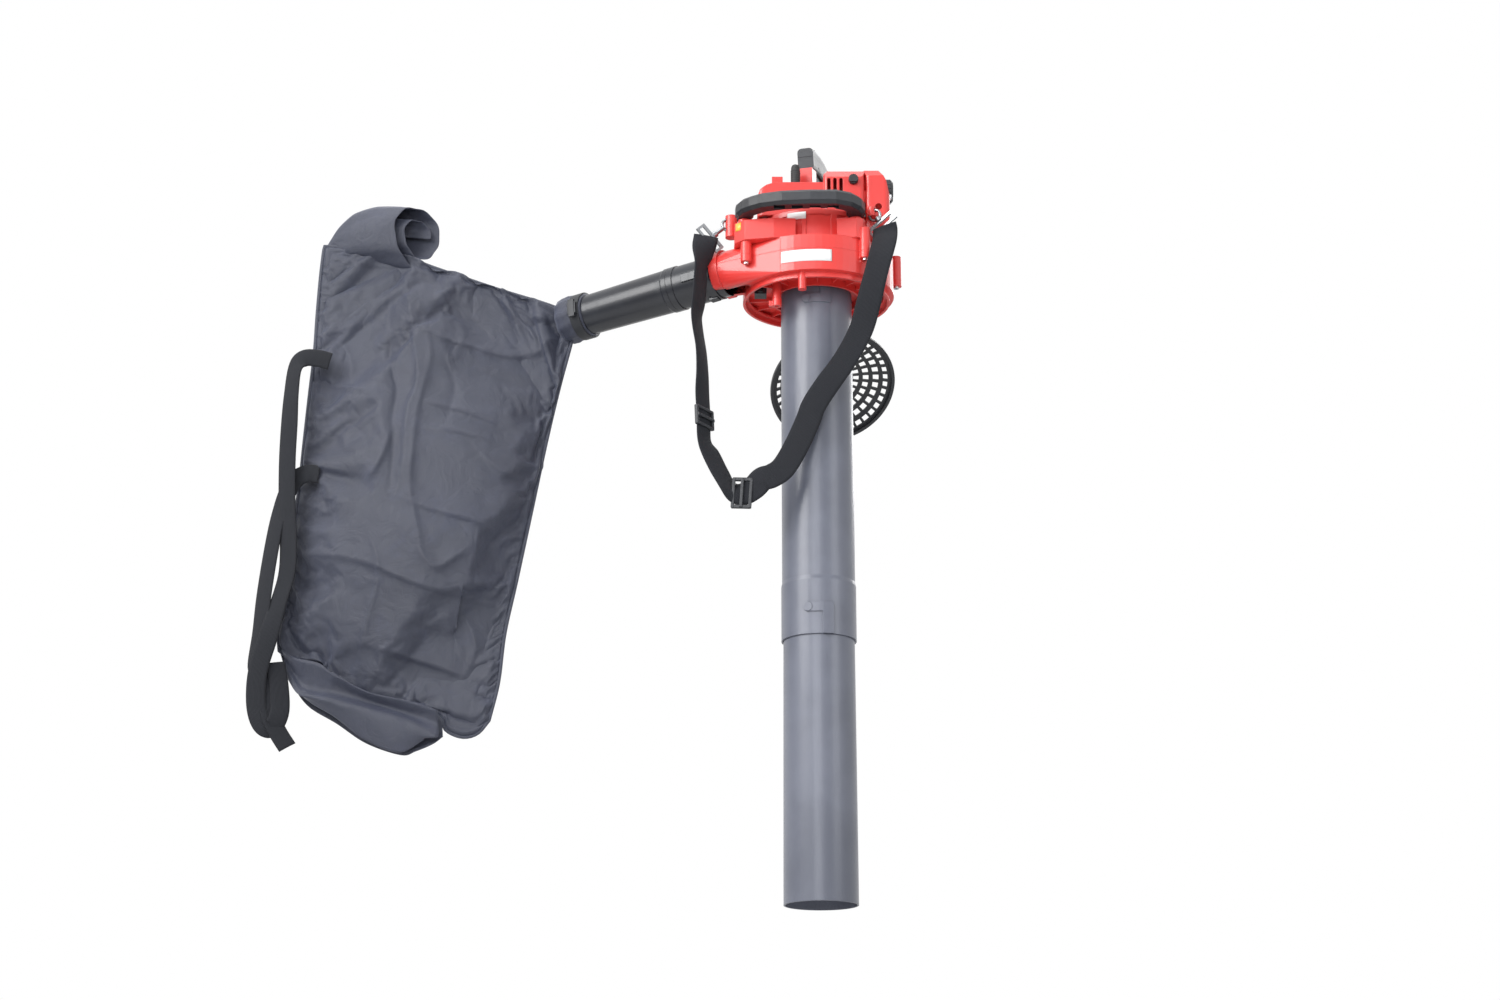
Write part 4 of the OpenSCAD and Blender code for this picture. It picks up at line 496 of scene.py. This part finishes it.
# a crease falls off as exp(-distance / reach) from its line, and fades towards the line's two ends
boldness = 1.5
press = np.zeros_like(x)
for height, before, after, line in creases:
    line = curve_through(line, 5)
    nearest, side, place = np.full(x.shape, 1e9), np.zeros_like(x), np.zeros_like(x)
    for i, (a, b) in enumerate(zip(line[:-1], line[1:])):
        way = b - a
        t = np.clip(((x - a[0]) * way[0] + (z - a[1]) * way[1]) / (way @ way), 0, 1)
        dx, dz = x - a[0] - t * way[0], z - a[1] - t * way[1]
        far = np.hypot(dx, dz)
        closer = far < nearest
        nearest = np.where(closer, far, nearest)
        side = np.where(closer, way[0] * dz - way[1] * dx, side)
        place = np.where(closer, (i + t) / (len(line) - 1), place)
    reach = np.where(side > 0, before, after)
    press += boldness * height * np.exp(-nearest / reach) * np.sin(np.pi * np.clip(place, 0.03, 0.97)) ** 0.6
sheets[0][..., 1] -= (press + 0.9 * swell(x, z, 8, 46)) * near_seam / 1000
sheets[1][..., 1] += (2 * swell(x, z, 15, 70) + 0.8 * swell(x, z, 16, 31)) * near_seam / 1000

inside = np.pad(np.ones((rows - 2, columns - 2), dtype=bool), 1)
index = np.stack([np.arange(rows * columns).reshape(rows, columns)] * 2)
index[1][inside] = rows * columns + np.arange(inside.sum())
bag = mesh_piece("bag_body", np.concatenate([sheets[0].reshape(-1, 3), sheets[1][inside]]), two_sheets(index), cloth)
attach(bag, "machine")
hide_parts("bag")

# ---------- seams of the bag ----------
# The folded seam allowance, stitched flat, stands round the edge of the two sheets. It is a closed ring of the
# bag's own cloth, wider than it is thick.

border = np.concatenate([sheets[0][0, :-1], sheets[0][:-1, -1], sheets[0][-1, :0:-1], sheets[0][:0:-1, 0]])
centre = border.mean(axis=0)
border = border[::2]
ahead = np.roll(border, -1, axis=0) - np.roll(border, 1, axis=0)
ahead /= np.linalg.norm(ahead, axis=1)[:, None]
outward = np.stack([-ahead[:, 2], np.zeros(len(ahead)), ahead[:, 0]], axis=1)
outward *= np.sign(((border - centre) * outward).sum(axis=1))[:, None]
w = np.linspace(0, 2 * math.pi, 8, endpoint=False)
ringed = (border[:, None] + outward[:, None] * (0.0012 + 0.0026 * np.cos(w))[None, :, None]
          + np.array([0, 1, 0]) * (0.0014 * np.sin(w))[None, :, None])
piping = mesh_piece("bag_seam", ringed, grid_faces(len(border), len(w), closed=True, ring=True), cloth)
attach(piping, "machine")

# ---------- rolled top of the bag ----------
# The slack top of the cloth is rolled up behind the seam, tapering to the left. Its spiral end is open to the
# right: the radius falls with each turn, and slow ripples run round it.

turns, across, along = 1.8, 120, 30
spine = spread(curve_through(
    [(-750, 104, 136), (-726, 101, 149), (-692, 97, 155), (-650, 93, 154), (-606, 90, 149)], 7), along)
T, S = np.meshgrid(np.linspace(0, 1, across), np.linspace(0, 1, along), indexing="ij")
height = np.interp(S[0], [0, 0.12, 0.3, 0.55, 0.8, 1], [5, 25, 44, 55, 60, 61])
angle = -1.2 - 2 * math.pi * turns * T
ripple = 1 + 0.04 * np.sin(3 * angle + 6 * S) + 0.022 * np.sin(8 * angle + 3 * S)
radius = height * (1 - 0.62 * T ** 0.8) * ripple
off = 0.58 * radius * np.cos(angle)
spiral = at(spine[:, 0] + 1.15 * S ** 1.5 * off, spine[:, 1] + off, spine[:, 2] + radius * np.sin(angle) - 3 * T)
roll = mesh_piece("bag_roll", spiral, grid_faces(across, along), cloth)
thicken(roll, 0.0016)
finer = roll.modifiers.new("finer", "SUBSURF")
finer.levels = finer.render_levels = 1
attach(roll, "machine")
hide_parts("bag")

# ---------- discharge collar of the bag ----------
# A sleeve of the same cloth, sewn to the bag's corner and gathered round the tube under the clamp. Its gathers
# ripple round it, deeper away from the clamp.

turn, dip = math.radians(152), math.radians(5)
axis = np.array([math.cos(dip) * math.cos(turn), math.cos(dip) * math.sin(turn), -math.sin(dip)])
tube_foot = np.array([116.8 * math.cos(turn) - 85 * math.sin(turn), 116.8 * math.sin(turn) + 85 * math.cos(turn), 36])
up = np.cross(axis, np.cross([0, 0, 1], axis))
up /= np.linalg.norm(up)
wide = np.cross(up, axis)
distance, size = np.array([(224, 31.4), (227, 33.2), (240, 33.2), (246, 34.6), (252, 35.6), (262, 35), (270, 33)]).T
a, k = np.linspace(0, 2 * math.pi, 72, endpoint=False), np.arange(len(distance))[:, None]
ripple = 1 + 0.03 * np.minimum(k, 4) / 4 * np.sin(11 * a + 0.6 * k) + 0.015 * np.sin(5 * a + k)
sleeve = ((tube_foot + axis * distance[:, None])[:, None] + (ripple * size[:, None])[..., None]
          * (np.cos(a)[:, None] * wide + np.sin(a)[:, None] * up))
collar = mesh_piece("bag_collar", at(*np.moveaxis(sleeve, -1, 0)), grid_faces(len(k), len(a), closed=True), cloth)
thicken(collar, 0.0012)
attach(collar, "machine")

# ---------- folded foot of the bag ----------
# The bottom panel of cloth is drawn in below the front sheet's hem, and a slack flap hangs below it. The back
# sheet closes the foot behind, and its dark inside shows at the flap's open corner.


def panel(name, layers, steps):
    """A cloth panel through rows of points: Catmull-Rom curves along each row, then from one row to the next."""
    grid = curve_through(np.swapaxes(layers, 0, 1), steps).swapaxes(0, 1)
    grid = curve_through(grid, 6).swapaxes(0, 1)
    piece = mesh_piece(name, at(*np.moveaxis(grid, -1, 0)), grid_faces(*grid.shape[:2]), cloth)
    thicken(piece, 0.0014)
    return piece


hem = [(-784, 88, -506), (-760, 74, -522), (-725, 66, -531), (-703, 63, -547), (-652, 61, -575), (-594, 62, -588),
       (-549, 66, -601)]
drawn = [(-780, 90, -514), (-759, 86, -545), (-738, 80, -562), (-693, 77, -572), (-636, 76, -590), (-590, 76, -604),
         (-548, 75, -618)]
lower = [(-778, 88, -526), (-752, 76, -568), (-733, 68, -579), (-702, 64, -586), (-643, 63, -603), (-600, 64, -616),
         (-547, 68, -639)]
bulge = [(-778, 88, -532), (-756, 76, -572), (-730, 70, -585), (-695, 67, -598), (-645, 66, -622), (-608, 67, -640),
         (-566, 70, -641)]
brim = [(-779, 90, -538), (-762, 84, -563), (-735, 80, -587), (-700, 78, -608), (-655, 78, -641), (-604, 76, -661),
        (-568, 74, -643)]
flap = panel("bag_foot", [hem, drawn, lower, bulge, brim], 10)
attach(flap, "machine")

above = np.array([(-784, 94, -504), (-760, 100, -518), (-725, 104, -530), (-690, 104, -550), (-650, 102, -570),
                  (-610, 98, -580), (-580, 92, -592), (-560, 88, -600), (-545, 86, -612)])
behind = np.array([(-786, 98, -506), (-774, 100, -540), (-745, 104, -584), (-700, 106, -612), (-655, 102, -642),
                   (-603, 92, -661), (-581, 84, -657), (-556, 80, -647), (-542, 80, -636)])
backing = panel("bag_foot_back", [above, 0.5 * above + 0.5 * behind + [0, 6, 0], behind], 8)
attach(backing, "machine")

# ---------- carrying straps of the bag ----------
# Two runs of 27.5 mm webbing from the bag's left side: one from the upper tab down to a loop and up again, and
# one from the lower tab, with its free end.

carry_w = 0.0275
upper_run = at(*np.transpose([
    (-730, 66, -66), (-748, 63, -62), (-768, 60, -63), (-781, 57, -80), (-784, 54, -121), (-784, 53, -170),
    (-784, 54, -229), (-781, 55, -294), (-776, 56, -353), (-776, 56, -400), (-786, 55, -446), (-797, 54, -497),
    (-809, 54, -548), (-809, 56, -594), (-800, 58, -622), (-786, 61, -628), (-776, 64, -606), (-778, 66, -570),
    (-786, 66, -530)]))
upper_face = np.repeat([(0, -1, 0.1), (-0.5, -0.85, 0), (-0.35, -0.93, 0), (0.1, -1, 0), (0.3, -0.9, -0.3),
                        (0.4, -0.9, 0)], [3, 2, 6, 4, 2, 2], axis=0)
carry, carry_length = band("bag_strap_upper", upper_run, upper_face, carry_w, 0.05)
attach(carry, "machine")
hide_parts("bag_strap")

lower_run = at(*np.transpose([
    (-738, 67, -244), (-756, 65, -243), (-776, 65, -258), (-794, 64, -306), (-802, 64, -359), (-809, 64, -429),
    (-812, 64, -486), (-816, 64, -530), (-806, 63, -548), (-795, 62, -575), (-788, 62, -610), (-776, 64, -634),
    (-762, 66, -655)]))
lower_face = np.repeat([(0, -1, 0.1), (-0.5, -0.85, 0), (0.2, -0.95, -0.2), (0.5, -0.85, 0)], [3, 5, 2, 3], axis=0)
second, second_length = band("bag_strap_lower", lower_run, lower_face, carry_w, 0.05)
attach(second, "machine")

# ---------- bare plates and badges ----------
# Thin plates of coated plastic film without print, stuck on: one bent round the volute and one on its neck in
# white, and two small flat ones in warning yellow.

label, tree, shader = material("plate_white", 0.3, Coat_Weight=0.3)
blend_colour(tree, shader, texture(tree, "Noise", 40), (0.80, 0.80, 0.79), (0.86, 0.86, 0.85))
marker, tree, shader = material("plate_yellow", 0.3, Coat_Weight=0.3)
blend_colour(tree, shader, texture(tree, "Noise", 40), (0.78, 0.44, 0.05), (0.86, 0.52, 0.08))

t = np.linspace(0, 1, 25)[:, None]
for name, radius, angles, heights in [("plate_front", (120.4, 119.2), (-116.5, -80.5), (20.5, 38.5)),
                                      ("plate_neck", (96.5, 96.5), (-117, -100), (97, 108))]:
    r = radius[0] * (1 - t) + radius[1] * t
    w = np.radians(angles[0] * (1 - t) + angles[1] * t)
    z = heights[0] + (heights[1] - heights[0]) * np.arange(3) / 2
    plate = mesh_piece(name, at(r * np.cos(w), r * np.sin(w), z), grid_faces(len(t), len(z)), label)
    thicken(plate, 0.0005, 0)
    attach(plate, "machine")

a, b = np.meshgrid([0, 0.5, 1], [0, 0.5, 1], indexing="ij")
for name, (x, y, z), (ahead_x, ahead_y), (wide, high) in [
        ("badge_left", (-119.6, -85.9, 79.5), (0.707, -0.707), (11, 12)),
        ("badge_right", (61.5, -44.5, 149), (1, 0), (7, 11))]:
    badge = mesh_piece(name, at(x + ahead_x * a * wide, y + ahead_y * a * wide, z + b * high),
                       grid_faces(*a.shape), marker)
    thicken(badge, 0.0006, 0)
    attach(badge, "machine")

# ---------- cable boot beside the handle ----------
# A moulded rubber boot with six ribs and a domed top, standing on the engine cover. It is turned round its own
# axis from the radii and heights of its profile.

rib = np.array([(6.6, 168), (7.1, 169), (7.1, 170.4), (6.4, 171)])
profile = np.concatenate([[(8.2, 160), (8.2, 166), (6.6, 167)],
                          (rib + np.arange(6)[:, None, None] * [0, 3.6]).reshape(-1, 2),
                          [(6.6, 191), (6.3, 194), (5.0, 196.6), (2.8, 198), (0.05, 198.4)]])
r, z = profile.T[..., None]
w = np.linspace(0, 2 * math.pi, 40, endpoint=False)
boot = mesh_piece("cable_boot", at(-31 + r * np.cos(w), -60 + r * np.sin(w), z),
                  grid_faces(len(profile), len(w), closed=True), rubber)
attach(boot, "machine")

# ---------- starter rope ----------
# Braided white cord from the pulley's rim, through its guide in the housing, to the grip.

rings, sides = 71, 16
turn = np.linspace(0, 2 * math.pi, sides, endpoint=False)
cord = at(-31.75 + 1.75 * np.cos(turn), np.linspace(6, 111, rings)[:, None], 148.25 - 1.75 * np.sin(turn))
caps = [list(range(sides - 1, -1, -1)), list(range((rings - 1) * sides, rings * sides))]
pull = mesh_piece("pull_rope", cord, grid_faces(rings, sides, closed=True) + caps, rope_white)
at(-31.75, 8, 148.25)
at(-31.75, 109, 148.25)
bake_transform(pull)
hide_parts("starter_rope")

# ---------- floor, backdrop and light ----------
# A matt white floor far below the machine, a white sky that is brighter to the camera than it lights the scene,
# and five soft square lamps, each turned to the middle of the machine.

world = bpy.data.worlds.new("studio")
bpy.context.scene.world = world
world.use_nodes = True
tree = world.node_tree
sky = tree.nodes["Background"]
sky.inputs["Color"].default_value = (1, 1, 1, 1)
rays = new_node(tree, "LightPath", {}, {}).outputs
seen = Sock(tree, rays["Is Camera Ray"]) + rays["Is Glossy Ray"] + rays["Is Transmission Ray"]
plug(tree, sky.inputs["Strength"], seen * 0.68 + 0.32)

white, tree, shader = material("floor_white", 0.8)
blend_colour(tree, shader, texture(tree, "Noise", 3), (0.92, 0.92, 0.92), (0.95, 0.95, 0.95))
floor = mesh_piece("floor", [(-8, -6, -2.2), (8, -6, -2.2), (8, 10, -2.2), (-8, 10, -2.2)], [(0, 1, 2, 3)], white)

lit_at = np.array([-0.2, 0.0, -0.4])
for name, place, power, size, tint in [
        ("key", (-2.3, -1.9, 0.9), 100, 1.9, (1, 1, 1)),
        ("front", (-0.55, -3.3, 0.1), 42, 1.5, (0.93, 0.95, 1)),
        ("fill", (2.3, -1.9, 0.1), 20, 1.3, (0.95, 0.97, 1)),
        ("over", (-0.5, -0.4, 2.4), 26, 1.6, (1, 1, 1)),
        ("rim", (0.9, 2.2, 1.0), 30, 1.6, (1, 1, 1))]:
    lamp = bpy.data.lights.new(name, "AREA")
    lamp.energy = power
    lamp.size = size
    lamp.color = tint
    light = bpy.data.objects.new(name, lamp)
    bpy.context.collection.objects.link(light)
    light.location = place
    aim = lit_at - place
    light.rotation_euler = (math.acos(-aim[2] / np.linalg.norm(aim)), 0, math.atan2(aim[1], aim[0]) - math.pi / 2)
